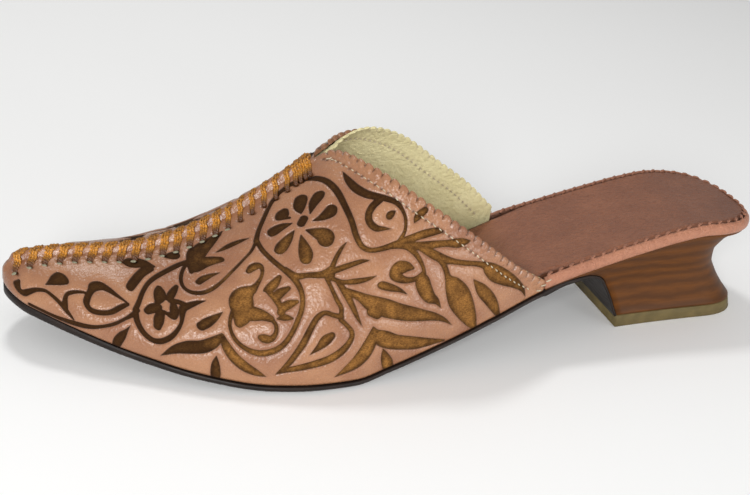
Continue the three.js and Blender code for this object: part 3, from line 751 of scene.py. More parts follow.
def wall_grid(xs, tops, pitch):
    """Points (column, height) on a square grid under an uneven top edge, and their faces."""
    column, height, starts, counts = [], [], [], []
    total = 0
    for i, top in enumerate(tops):
        n = max(int((top - 0.3 * pitch) / pitch), 0)
        column.append(np.full(n + 2, i))
        height.append(np.append(np.arange(n + 1) * pitch, max(top, 0.05)))
        starts.append(total)
        counts.append(n + 1)
        total += n + 2
    faces = []
    for i in range(len(xs) - 1):
        a, b, na, nb = starts[i], starts[i + 1], counts[i], counts[i + 1]
        m = min(na, nb) - 1
        j = np.arange(m)
        faces += np.stack([a + j, b + j, b + j + 1, a + j + 1], axis=1).tolist()
        left, right = m, m
        while left < na or right < nb:
            if right >= nb or (left < na and left / na <= right / nb):
                faces.append((a + left, b + right, a + left + 1))
                left += 1
            else:
                faces.append((a + left, b + right, b + right + 1))
                right += 1
    return np.concatenate(column), np.concatenate(height), faces, np.array(starts) + np.array(counts)


def wall_points(xs, column, height, side):
    rows = girths(xs, side)
    share = np.empty(len(column))
    for i, row in enumerate(rows):
        here = column == i
        share[here] = np.interp(height[here], row, SHARES)
    x = xs[column]
    return upper_point(x, share, side), upper_normal(x, share, side)


# ---------------------------------------------------------------- materials
def linear(code):
    """Linear colour of an sRGB hex value."""
    parts = [int(code[k:k + 2], 16) / 255 for k in (1, 3, 5)]
    return tuple(c / 12.92 if c <= 0.04045 else ((c + 0.055) / 1.055) ** 2.4 for c in parts)


def add_node(tree, kind, inputs=None, **settings):
    """Adds a node with its settings; inputs holds values or the sockets linked to them."""
    node = tree.nodes.new(kind)
    for key, value in settings.items():
        setattr(node, key, value)
    for socket, value in (inputs or {}).items():
        if isinstance(value, bpy.types.NodeSocket):
            tree.links.new(value, node.inputs[socket])
        else:
            node.inputs[socket].default_value = value
    return node


def arithmetic(tree, operation, *values):
    """Result of a sum on values or sockets."""
    return add_node(tree, "ShaderNodeMath", dict(enumerate(values)), operation=operation).outputs[0]


def cells(tree, at, size):
    """Pebbled grain whose cells are about size millimetres across."""
    return add_node(tree, "ShaderNodeTexVoronoi", {"Vector": at, "Scale": 1 / (size * MM)},
                    feature="SMOOTH_F1").outputs[0]


FACTOR, FIRST, SECOND, RESULT = 0, 6, 7, 2


def rgba(colour):
    return (*colour, 1.0)


def blend_colours(tree, factor, first, second):
    """Mixes two colours, given as values or sockets."""
    ends = [v if isinstance(v, bpy.types.NodeSocket) else rgba(v) for v in (first, second)]
    node = add_node(tree, "ShaderNodeMix", {FACTOR: factor, FIRST: ends[0], SECOND: ends[1]},
                    data_type="RGBA")
    return node.outputs[RESULT]


def ramp(tree, value, low, high, start=0.0, end=1.0):
    """Straight change from start to end as value goes from low to high."""
    node = add_node(tree, "ShaderNodeMapRange", {0: value, 1: low, 2: high, 3: start, 4: end})
    return node.outputs[0]


def noise(tree, place_socket, size, detail=3.0, rough=0.55, stretch=None):
    """Noise whose marks are about size millimetres across, drawn out by stretch along x, y, z."""
    if stretch:
        place_socket = add_node(tree, "ShaderNodeMapping", {0: place_socket, 3: stretch}).outputs[0]
    node = add_node(tree, "ShaderNodeTexNoise", {
        "Vector": place_socket, "Scale": 1 / (size * MM), "Detail": detail, "Roughness": rough})
    return node.outputs[0]


def begin_material(name, **values):
    """A material with its shader and the shoe's own coordinates."""
    made = bpy.data.materials.new(name)
    made.use_nodes = True
    tree = made.node_tree
    shader = tree.nodes["Principled BSDF"]
    for socket, value in values.items():
        shader.inputs[socket.replace("_", " ")].default_value = value
    coordinates = add_node(tree, "ShaderNodeTexCoord").outputs["Object"]
    return made, tree, shader, coordinates


def relief(tree, shader, height, depth, strength, under=None):
    """Bump of the given depth in millimetres; under is a bump that it adds to."""
    inputs = {"Height": height, "Distance": depth * MM, "Strength": strength}
    if under:
        inputs["Normal"] = under
    bump = add_node(tree, "ShaderNodeBump", inputs).outputs[0]
    tree.links.new(bump, shader.inputs["Normal"])
    return bump


def mark(tree, name):
    return add_node(tree, "ShaderNodeAttribute", attribute_name=name).outputs["Fac"]


def tooled_calf(colours, name, ior):
    """Calf leather, dyed, lightly finished and tooled: smooth and softly shiny with a fine grain,
    and matt, brown and fibrous where the tool has burnt the finish away. The burnt fibres reflect
    less than the finish, so their faces take a lower index."""
    made, tree, shader, at = begin_material(name, IOR=ior)
    cloud = noise(tree, at, 16, 2)
    skin = blend_colours(tree, ramp(tree, cloud, 0.35, 0.7), colours.leather, colours.leather_deep)
    pores = noise(tree, at, 1.1, 4, 0.6)
    skin = blend_colours(tree, ramp(tree, pores, 0.5, 0.75, 0, 0.22), skin, colours.leather_deep)
    fibre = noise(tree, at, 0.45, 4, 0.7, (0.7, 1, 1.4))
    patch = noise(tree, at, 5, 3)
    suede = blend_colours(tree, ramp(tree, fibre, 0.28, 0.6), colours.burnt, colours.tooled)
    suede = blend_colours(tree, ramp(tree, patch, 0.4, 0.75, 0, 0.5), suede, colours.burnt)
    passes = noise(tree, at, 3.6, 2)
    heat = arithmetic(tree, "MULTIPLY_ADD", passes, 1.5, mark(tree, "burn"))
    suede = blend_colours(tree, ramp(tree, heat, 0.62, 1.5, 0, 0.88), suede, colours.scorched)
    tooling = mark(tree, "tooling")
    uneven = arithmetic(tree, "MULTIPLY_ADD", patch, 1.2, tooling)
    rim = ramp(tree, uneven, -0.8, 0.5, 0, 0.75)
    suede = blend_colours(tree, rim, suede, colours.scorched)
    inside = ramp(tree, tooling, 0.1, -0.1)
    halo = ramp(tree, tooling, 0.9, 0.05, 0, 0.3)
    skin = blend_colours(tree, halo, skin, colours.leather_deep)
    colour = blend_colours(tree, inside, skin, suede)
    # Painted shade: where the shade mark is set, the leather is darkened toward the hole colour
    colour = blend_colours(tree, mark(tree, "soil"), colour, colours.hole)
    tree.links.new(colour, shader.inputs["Base Color"])
    finish = ramp(tree, pores, 0.3, 0.8, 0.2, 0.38)
    matt = add_node(tree, "ShaderNodeMix", {0: inside, 2: finish, 3: 0.9}, data_type="FLOAT").outputs[0]
    tree.links.new(matt, shader.inputs["Roughness"])
    first = relief(tree, shader, cells(tree, at, 0.9), 0.16, 0.8)
    second = relief(tree, shader, noise(tree, at, 1.3, 4, 0.6), 0.3, 0.7, first)
    relief(tree, shader, arithmetic(tree, "MULTIPLY", fibre, inside), 0.30, 0.6, second)
    return made


def plain_leather(name, base, deep, roughness, grain_mm=1.0, grain_depth=0.1, wrinkle=None, holes=(0, 0, 0)):
    """Dyed leather with pebbled grain: a little uneven in colour, softly shiny on its high spots.
    wrinkle stretches its fine creases along x, y, z. The holes colour is painted shade, blended in where the
    shade mark is set."""
    made, tree, shader, at = begin_material(name, IOR=1.42)
    cloud = noise(tree, at, 14, 3)
    colour = blend_colours(tree, ramp(tree, cloud, 0.3, 0.8, 0, 0.55), base, deep)
    creases = noise(tree, at, 1.6, 5, 0.62, wrinkle or (1, 1, 1))
    colour = blend_colours(tree, ramp(tree, creases, 0.45, 0.72, 0, 0.45), colour, deep)
    # Painted shade: the shade mark darkens the colour toward the holes colour
    colour = blend_colours(tree, mark(tree, "soil"), colour, holes)
    tree.links.new(colour, shader.inputs["Base Color"])
    tree.links.new(ramp(tree, creases, 0.3, 0.8, roughness - 0.06, roughness + 0.12),
                   shader.inputs["Roughness"])
    first = relief(tree, shader, cells(tree, at, grain_mm), grain_depth, 0.6)
    relief(tree, shader, creases, 0.9, 1.0, first)
    return made


def twisted_thread(name, light, dark, roughness=0.55):
    """Waxed cotton or silk thread, plied: soft sheen along each ply, dark between the plies, and darkened
    toward the dark colour as painted shade where the shade mark is set.
    """
    made, tree, shader, at = begin_material(name, Roughness=roughness)
    shade = mark(tree, "soil")
    fuzz = noise(tree, at, 0.6, 3)
    colour = blend_colours(tree, ramp(tree, fuzz, 0.3, 0.75), light, dark)
    colour = blend_colours(tree, shade, colour, dark)
    tree.links.new(colour, shader.inputs["Base Color"])
    relief(tree, shader, noise(tree, at, 0.3, 2), 0.08, 0.5)
    return made


def stained_wood(colours):
    """Stained wood with a satin varnish: warm brown, in soft level bands with finer streaks."""
    made, tree, shader, at = begin_material("stained_wood", IOR=1.3, Roughness=0.5)
    warp = noise(tree, at, 9, 2, 0.5, (0.35, 0.5, 1))
    height = add_node(tree, "ShaderNodeSeparateXYZ", {0: at}).outputs[2]
    level = arithmetic(tree, "MULTIPLY", height, 2 * math.pi / (WOOD_BAND * MM))
    bands = arithmetic(tree, "SINE", arithmetic(tree, "MULTIPLY_ADD", warp, BAND_WARP, level))
    colour = blend_colours(tree, ramp(tree, bands, -1.2, 1.4, 0, 0.8), colours.wood, colours.wood_deep)
    streaks = noise(tree, at, 0.8, 4, 0.6, (0.12, 0.3, 1))
    colour = blend_colours(tree, ramp(tree, streaks, 0.4, 0.75, 0, 0.5), colour, colours.wood_deep)
    tree.links.new(colour, shader.inputs["Base Color"])
    relief(tree, shader, streaks, 0.06, 0.4)
    return made


def moulded_rubber(name, base, deep, roughness=0.6):
    """Rubber or leatherboard, cut and buffed: matt, with fine scratches along the cut."""
    made, tree, shader, at = begin_material(name, IOR=1.35)
    cloud = noise(tree, at, 6, 4)
    colour = blend_colours(tree, ramp(tree, cloud, 0.35, 0.75), base, deep)
    tree.links.new(colour, shader.inputs["Base Color"])
    buff = noise(tree, at, 0.7, 3, 0.6, (0.1, 0.1, 1))
    tree.links.new(ramp(tree, buff, 0.3, 0.8, roughness - 0.08, roughness + 0.15),
                   shader.inputs["Roughness"])
    relief(tree, shader, buff, 0.08, 0.5)
    return made


# ---------------------------------------------------------------- sizes and colours of the tool
def size(name, description, default):
    return bpy.props.FloatProperty(name=name, description=description, default=default * MM, unit="LENGTH",
                                   precision=5)


def tint(name, description, code):
    return bpy.props.FloatVectorProperty(name=name, description=description, default=linear(code),
                                         subtype="COLOR", size=3, min=0, max=1)


class SlipperSizes(bpy.types.PropertyGroup):
    mesh: size("Quarter mesh", "Width of one cell of the quarters' mesh", 0.3)
    recess: size("Recess", "Depth of the tooled ornament", 0.4)
    puff: size("Puff", "How far the leather between the tooling swells", 0.3)
    leather: size("Leather", "Thickness of the outer leather", 0.9)
    lace: size("Lace", "Diameter of one lacing strand", 1.12)
    thread: size("Thread", "Diameter of the sewing thread", 0.42)
    whip_pitch: size("Whip pitch", "Distance between two whip stitches round the insole", 4.4)


class SlipperColours(bpy.types.PropertyGroup):
    leather: tint("Leather", "Pink calf of the quarters", "#a37555")
    leather_deep: tint("Deep leather", "Pink calf where it is darker", "#895c43")
    tooled: tint("Tooled", "Light fibres of the tooled ornament", "#9c6c35")
    burnt: tint("Burnt", "Darker fibres of the tooled ornament", "#4a2c12")
    scorched: tint("Scorched", "Burnt edges of the ornament", "#2a1503")
    # Painted shade colour: it darkens the gaps, the holes, the foot of the upper, the insole's sides and the
    # rand's underside, and it colours the dark beads beside the whip stitches
    hole: tint("Hole", "Dark inside holes and gaps", "#2a1810")
    lining: tint("Lining", "Cream lining", "#e2d8a9")
    lining_deep: tint("Deep lining", "Cream lining where it is darker", "#c8bc88")
    insole: tint("Insole", "Insole leather", "#9c6549")
    # Also the whip thread's dark colour, toward which its painted shade blends
    insole_deep: tint("Deep insole", "Insole leather in its creases", "#6d4230")
    rand: tint("Rand", "Rolled rand round the heel seat", "#b27a5e")
    rand_deep: tint("Deep rand", "Rand leather where it is darker", "#95604a")
    lace: tint("Lace", "Gold lacing thread", "#e39a2c")
    # Also the painted shade of the lacing at its crest and near its holes
    lace_deep: tint("Deep lace", "Lacing thread between its plies", "#4a2408")
    thread: tint("Thread", "Cream sewing thread", "#c9bfa4")
    thread_deep: tint("Deep thread", "Cream thread in its shade", "#a3917a")
    dot: tint("Dot", "Pale dot beside each lacing hole", "#8f8b73")
    outsole: tint("Outsole", "Dark outsole", "#241812")
    outsole_deep: tint("Deep outsole", "Outsole in its scratches", "#140e0b")
    wood: tint("Wood", "Heel wood", "#613608")
    wood_deep: tint("Deep wood", "Dark bands of the heel wood", "#3f2104")
    lift: tint("Top lift", "Khaki top lift", "#6c5d39")
    lift_deep: tint("Deep top lift", "Top lift where it is worn", "#53482b")
    floor: tint("Floor", "Pale floor", "#fcfcfb")


def settings():
    scene = bpy.context.scene
    return scene.slipper_sizes, scene.slipper_colours


# ---------------------------------------------------------------- quarters
def ridge_height(x, below, run):
    """Raised seam along the crest, pinched where each lace crosses it."""
    across = np.clip(np.abs(below) / RIDGE_HALF, 0, 1)
    pinch = mix(RIDGE_PINCHED, 1.0, np.abs(np.sin(math.pi * run / LACE_PITCH)))
    tip = np.clip((LENGTH - WELT - x) / 4, 0, 1) * step_up(x, THROAT - 0.5, THROAT + 2)
    groove = SEAM_GROOVE * np.exp(-(below / SEAM_GROOVE_HALF) ** 2)
    return tip * (RIDGE_HEIGHT * pinch * (1 - across ** RIDGE_SQUARENESS) ** 0.6 - groove)


def make_quarter(side, name, sizes, finished, burnt):
    rim = RIM[side]
    xs = stations(sizes.mesh / MM)
    deeper = 1 + THROAT_DROP * (1 - throat_fade(xs, side, THROAT_DROP_RUN))
    lower = QUARTER_BELOW[side] * deeper * np.hypot(1, rim.slope_at(xs)) * throat_fade(xs, side, 1.2)
    tops = wall_top(xs, side) - rim_cut(xs, side) - lower
    column, height, faces, top_index = wall_grid(xs, tops, sizes.mesh / MM)
    points, normals = wall_points(xs, column, height, side)
    x = xs[column]
    below = tops[column] - height
    run = rim.run_at(x)
    in_front = x > THROAT
    drop = MEDIAL_PATTERN_DROP * step_up(height, 14, 30) * (side == MEDIAL)
    tooling = tooling_distance(x, height + drop)
    pressed = step_up(-tooling, PRESSED_FROM, PRESSED_TO)
    lift = -(sizes.recess / MM) * pressed
    lift = lift + (sizes.puff / MM) * (1 - np.exp(-np.maximum(tooling, 0) / PUFF_RUN))
    from_edge = below / np.hypot(1, rim.slope_at(x))
    scallop = lobe_at(rim, x, below)
    near_edge = 1 - step_up(from_edge, LOBE_LENGTH * 0.5, LOBE_LENGTH)
    swell = SCALLOP_SWELL * scallop ** 0.6 * near_edge * step_up(from_edge, -0.4, 0.7)
    gap = (1 - step_up(scallop, 0.05, 0.26)) * (1 - step_up(from_edge, GAP_LENGTH * 0.5, GAP_LENGTH))
    fade = throat_fade(x, side)
    gap *= fade
    lift = lift + (swell - 0.35 * gap) * fade
    crest_below = rim.top_at(x) - height
    lift = lift + np.where(in_front, ridge_height(x, crest_below, run - rim.throat), 0)
    _, hole_x, hole_h = lace_holes(side)
    lace_dent = dents(x, height, zip(hole_x, hole_h), LACE_HOLE)
    stitch_x, stitch_h, way = collar_line(side)
    half = STITCH_PITCH / 2
    between = zip(stitch_x + way[:, 0] * half, stitch_h + way[:, 1] * half)
    stitch_dent = dents(x, height, between, STITCH_HOLE)
    lift = lift - LACE_HOLE_DEPTH * lace_dent - STITCH_HOLE_DEPTH * stitch_dent
    lift = lift * step_up(height, 0, 0.8)
    outer = points + normals * lift[:, None]
    burn = np.maximum(step_up(x, 196, 214), step_up(height + 0.25 * (x - 160), 38, 62) * 0.9)
    # Painted shade: the foot of the wall by the sole is darker, and so are the gaps between scallops and the
    # lace and stitch holes
    sole_shade = 0.6 * (1 - step_up(height, 0, 0.7))
    soil = np.clip(0.65 * gap + 0.95 * lace_dent + 0.8 * stitch_dent + sole_shade, 0, 1)
    shell = Shell()
    order = turned(faces, side == LATERAL)
    shell.add(outer, order, tooling=tooling, burn=burn, soil=soil)
    leather = sizes.leather / MM
    edge_out = outer[top_index]
    edge_in = points[top_index] - normals[top_index] * leather
    open_edge = np.flatnonzero(xs <= THROAT)
    strip = np.concatenate([edge_out[open_edge], edge_in[open_edge]])
    # Painted shade on the collar's cut edge and on the quarter's end
    shell.add(strip, sheet_faces(2, len(open_edge), side == MEDIAL), tooling=TOOLING_REACH, soil=0.25)
    end_rows = np.flatnonzero(column == 0)
    end = np.concatenate([outer[end_rows], points[end_rows] - normals[end_rows] * leather])
    shell.add(end, sheet_faces(2, len(end_rows), side == LATERAL), tooling=TOOLING_REACH, soil=0.2)
    return shell.piece(name, finished, "upper_leather", "upper", second=burnt, choose="tooling")


class SLIPPER_OT_quarters(bpy.types.Operator):
    """Outer leather of both quarters, tooled, scalloped at the collar and raised along the seam"""
    bl_idname = "slipper.quarters"
    bl_label = "Quarters"

    def execute(self, context):
        sizes, colours = settings()
        calf = tooled_calf(colours, "finished_calf", 1.47)
        burnt = tooled_calf(colours, "burnt_calf", 1.25)
        make_quarter(LATERAL, "quarter_lateral", sizes, calf, burnt)
        make_quarter(MEDIAL, "quarter_medial", sizes, calf, burnt)
        return {"FINISHED"}


class SLIPPER_OT_lining(bpy.types.Operator):
    """Cream lining of both quarters, scalloped with them"""
    bl_idname = "slipper.lining"
    bl_label = "Lining"

    def execute(self, context):
        sizes, colours = settings()
        cream = plain_leather("lining_goatskin", colours.lining, colours.lining_deep, 0.6, 0.8, 0.06,
                              holes=colours.thread_deep)
        behind = sizes.leather / MM + 0.05
        shell = Shell()
        for side in (LATERAL, MEDIAL):
            rim = RIM[side]
            xs = stations(LINING_COLUMNS)
            proud = LINING_PROUD[side] * np.hypot(1, rim.slope_at(xs)) * throat_fade(xs, side, 2.0)
            tops = wall_top(xs, side) - rim_cut(xs, side) + proud
            column, height, faces, top_index = wall_grid(xs, tops, LINING_MESH)
            points, normals = wall_points(xs, column, height, side)
            x = xs[column]
            below = tops[column] - height
            from_edge = below / np.hypot(1, rim.slope_at(x))
            scallop = lobe_at(rim, x, below)
            near_edge = (1 - step_up(from_edge, LOBE_LENGTH * 0.5, LOBE_LENGTH)) * (x < THROAT)
            swell = 0.3 * scallop * near_edge
            stitch_x, stitch_h, way = collar_line(side)
            dent = dents(x, height, zip(stitch_x, stitch_h), 0.6)
            inner = points - normals * (WALL - 0.1 + swell - 0.3 * dent)[:, None]
            inner[:, 0] = np.minimum(inner[:, 0], LENGTH - 4)
            order = turned(faces, side == MEDIAL)
            # Painted shade: the lining is darker in the gaps between scallops and in the stitch dents,
            # toward the deep thread colour
            gap = (1 - step_up(scallop, 0.08, 0.3)) * (1 - step_up(from_edge, 0.6, GAP_LENGTH))
            gap *= x < THROAT
            shell.add(inner, order, soil=np.clip(0.55 * gap + 0.7 * dent, 0, 1))
            open_edge = np.flatnonzero(xs <= THROAT)
            rows = top_index[open_edge]
            outside = points[rows] - normals[rows] * behind
            strip = sheet_faces(2, len(rows), side == MEDIAL)
            shell.add(np.concatenate([inner[rows], outside]), strip, soil=0)
            low_x = xs[open_edge]
            down = np.maximum(height[rows] - 2.0, 0)
            lower, lower_normal = wall_points(low_x, np.arange(len(low_x)), down, side)
            lower = lower - lower_normal * behind
            shell.add(np.concatenate([outside, lower]), strip, soil=0)
        shell.piece("lining", cream, "lining_leather", "upper")
        return {"FINISHED"}


# ---------------------------------------------------------------- lacing and sewing
def lace_path(crest, x, height, side):
    """Half of one lace: from the crest down over the ridge to its hole, with its outward way."""
    rim = RIM[side]
    steps = np.linspace(0, 1, 13)
    xs = mix(crest, x, steps ** 0.45)
    reach = rim.top_at(x) - height
    below = steps * reach
    path, ways = [], []
    for px, depth in zip(xs, below):
        h = max(float(rim.top_at(px)) - depth, 0.2)
        point, normal = wall_place(px, h, side)[:2]
        rise = float(ridge_height(px, np.array(depth), rim.run_at(px) - rim.throat))
        over = 0.45 * (1 - step_up(depth, reach - 1.2, reach)) - 0.5 * step_up(depth, reach - 0.6, reach)
        path.append(point + normal * (max(rise, 0) + over))
        ways.append(normal)
    return np.array(path), np.array(ways)


def add_lace(shell, crest, ends, sizes, strands):
    """One wrap of the lacing over the seam, of twisted strands laid side by side."""
    halves = [lace_path(crest, x, h, side) for side, (x, h) in ends.items()]
    path = np.concatenate([halves[0][0][::-1], halves[1][0][1:]])
    ways = unit(np.concatenate([halves[0][1][::-1], halves[1][1][1:]]))
    fine = np.linspace(0, len(path) - 1, LACE_STEPS)
    at = np.arange(len(path))
    path = np.stack([np.interp(fine, at, path[:, k]) for k in range(3)], axis=1)
    ways = unit(np.stack([np.interp(fine, at, ways[:, k]) for k in range(3)], axis=1))
    along = unit(np.gradient(path, axis=0))
    across = unit(np.cross(along, ways))
    run = np.concatenate([[0], np.cumsum(np.linalg.norm(np.diff(path, axis=0), axis=1))])
    diameter = sizes.lace / MM
    ply = diameter * PLY_SHARE
    share = np.clip(run / run[-1], 0, 1)
    narrow = 0.3 + 0.7 * np.sin(share * math.pi) ** 0.6
    from_crest = np.abs(share - 0.5)
    # Painted shade: each lace is darkened at the crest and more toward its holes
    painted_dimming = 0.35 * (1 - step_up(from_crest, 0.05, 0.16))
    shade = np.repeat(painted_dimming + 0.95 * step_up(from_crest, 0.24, 0.46), 6)
    for k in range(strands):
        middle = path + across * ((k - (strands - 1) / 2) * diameter * STRAND_SPACING * narrow)[:, None]
        for half_turn in (0, math.pi):
            angle = 2 * math.pi * run / TWIST_LENGTH + half_turn + k
            offset = across * np.cos(angle)[:, None] + ways * np.sin(angle)[:, None]
            points, faces = tube(middle + offset * ply * 0.7, np.full(len(run), ply), 6, (0.1, 1, 0.1))
            shell.add(points, faces, soil=shade)


class SLIPPER_OT_lacing(bpy.types.Operator):
    """Gold lacing over the centre seam, with the pale dots beside its holes"""
    bl_idname = "slipper.lacing"
    bl_label = "Lacing"

    def execute(self, context):
        sizes, colours = settings()
        gold = twisted_thread("lacing_silk", colours.lace, colours.lace_deep, 0.42)
        pale = plain_leather("painted_dot", colours.dot, colours.dot, 0.5, 0.6, 0.05)
        places = {side: lace_holes(side) for side in (LATERAL, MEDIAL)}
        laces, dots = Shell(), Shell()
        count = min(len(places[LATERAL][0]), len(places[MEDIAL][0]))
        for k in range(count):
            ends = {side: (places[side][1][k], places[side][2][k]) for side in (LATERAL, MEDIAL)}
            crossing = (places[LATERAL][0][k] + places[MEDIAL][0][k]) / 2
            add_lace(laces, crossing, ends, sizes, 3 if crossing > DOTS_FROM else 2)
        for side in (LATERAL, MEDIAL):
            _, xs, hs = places[side]
            for x, h in zip(xs[xs > DOTS_FROM], hs[xs > DOTS_FROM]):
                point, normal, fore, rise = wall_place(x + DOT_AHEAD, max(h - DOT_BELOW_HOLE, 0.5), side)
                way = unit(fore + 0.3 * rise)
                cross = np.cross(normal, way)
                points, faces = bead(point + normal * 0.1, way, cross, normal, DOT)
                dots.add(points, faces, soil=0)
        laces.piece("seam_lacing", gold, "lacing_thread", "upper")
        dots.piece("lacing_dots", pale, "lacing_thread", "upper")
        return {"FINISHED"}


class SLIPPER_OT_collar_stitching(bpy.types.Operator):
    """Cream stitch line below the collar's scallops, and the stitches that hold the quarter ends"""
    bl_idname = "slipper.collar_stitching"
    bl_label = "Collar stitching"

    def execute(self, context):
        sizes, colours = settings()
        cream = twisted_thread("waxed_cotton", colours.thread, colours.thread_deep)
        radius = sizes.thread / MM / 2
        shell = Shell()
        for side in (LATERAL, MEDIAL):
            xs, hs, ways = collar_line(side)
            for x, h, way in zip(xs, hs, ways):
                if h < 1.5:
                    continue
                point, normal, fore, rise = wall_place(x, h, side)
                along = unit(fore * way[0] + rise * way[1])
                reach = along * STITCH_LENGTH / 2
                points, faces = stitch(point - reach + normal * 0.08, point + reach + normal * 0.08,
                                       normal, radius, 0.14)
                shell.add(points, faces, soil=0)
                inside = point - normal * (WALL + 0.05)
                # Painted shade on the stitch inside the shoe
                shell.add(*stitch(inside - reach, inside + reach, -normal, radius * 0.9, 0.1), soil=0.3)
            joint = QUARTER_END + 1.0
            for k, (back, drop) in enumerate(((-1.6, 0.6), (0.2, 1.6), (1.8, 2.8))):
                x = joint + back
                y = edge(x, side, 0.2)
                z = float(insole_top(x)) - drop
                start = np.array([x - 0.9, y + side * 0.35, z + 0.5])
                end = np.array([x + 0.9, y + side * 0.35, z - 0.3 + 0.3 * k])
                shell.add(*stitch(start, end, (0, side, 0.2), radius * 1.1, 0.3), soil=0)
        shell.piece("collar_stitches", cream, "stitch_thread", "upper")
        return {"FINISHED"}


# ---------------------------------------------------------------- insole and rand
def insole_inset(x):
    return mix(RAND_THICKNESS + GAP, INSOLE_INSET, np.clip((x - 80) / 12, 0, 1))


def seat_line(inset, pitch):
    """Points round the heel seat from the lateral quarter's end to the medial one, evenly spaced."""
    t = np.linspace(0, 1, 500) ** 2.2
    x = mix(inset, QUARTER_END, t)
    lateral = np.stack([x, edge(x, LATERAL, inset)], axis=1)[::-1]
    medial = np.stack([x, edge(x, MEDIAL, inset)], axis=1)[1:]
    line = np.concatenate([lateral, medial])
    run = np.concatenate([[0], np.cumsum(np.linalg.norm(np.diff(line, axis=0), axis=1))])
    at = np.linspace(0, run[-1], int(run[-1] / pitch) + 1)
    flat = np.stack([np.interp(at, run, line[:, 0]), np.interp(at, run, line[:, 1])], axis=1)
    along = unit(np.gradient(flat, axis=0))
    return flat, along


class SLIPPER_OT_insole(bpy.types.Operator):
    """Insole of fine creased leather, dished a little and rolled down at its edge"""
    bl_idname = "slipper.insole"
    bl_label = "Insole"

    def execute(self, context):
        colours = settings()[1]
        leather = plain_leather("insole_sheepskin", colours.insole, colours.insole_deep, 0.36, 1.0, 0.14,
                                (0.9, 1.9, 1), holes=colours.hole)
        start = RAND_THICKNESS + GAP
        back = start + 30 * (1 - np.cos(np.linspace(0, math.pi / 2, 40)))
        xs = np.concatenate([back, np.arange(back[-1] + INSOLE_MESH, INSOLE_TOE, INSOLE_MESH)])
        across = np.sin(np.linspace(-math.pi / 2, math.pi / 2, 75))
        low_side, high_side = edge(xs, MEDIAL, insole_inset(xs)), edge(xs, LATERAL, insole_inset(xs))
        middle, half = (low_side + high_side) / 2, (high_side - low_side) / 2
        y = middle[:, None] + half[:, None] * across[None, :]
        from_edge = half[:, None] * (1 - np.abs(across))[None, :]
        from_back = np.maximum(xs - start, 0)[:, None]
        margin = np.minimum(from_edge, from_back)
        dish = INSOLE_DISH * (1 - (across ** 2))[None, :] * step_up(xs, 0, 30)[:, None]
        roll = INSOLE_ROLL * (1 - step_up(margin, 0, 1.8))
        z = insole_top(xs)[:, None] - dish - roll + 0.35
        top = np.stack([np.broadcast_to(xs[:, None], y.shape), y, z], axis=2)
        shell = Shell()
        # Painted shade: the insole is darker toward the heel, where the light falls off. The seam value adds
        # this to a darker margin within a millimetre of the rolled edge
        painted_dimming = 0.3 * (1 - step_up(xs, 0, 62))[:, None]
        seam = np.clip(np.clip(1 - margin / 0.9, 0, 1) * 0.6 + painted_dimming, 0, 1)
        shell.add(top, sheet_faces(len(xs), len(across), False), soil=seam.ravel())
        under = top.copy()
        under[..., 2] = np.minimum(deck(xs)[:, None] + GAP, z - 0.4)
        shell.add(under, sheet_faces(len(xs), len(across), True), soil=0)
        # Painted shade on the insole's sides and ends
        for row in (0, -1):
            wall = np.concatenate([top[:, row], under[:, row]])
            shell.add(wall, sheet_faces(2, len(xs), row == 0), soil=0.4)
        for row in (0, -1):
            wall = np.concatenate([top[row], under[row]])
            shell.add(wall, sheet_faces(2, len(across), row == -1), soil=0.4)
        shell.piece("insole_cover", leather, "insole_leather", "insole")
        return {"FINISHED"}


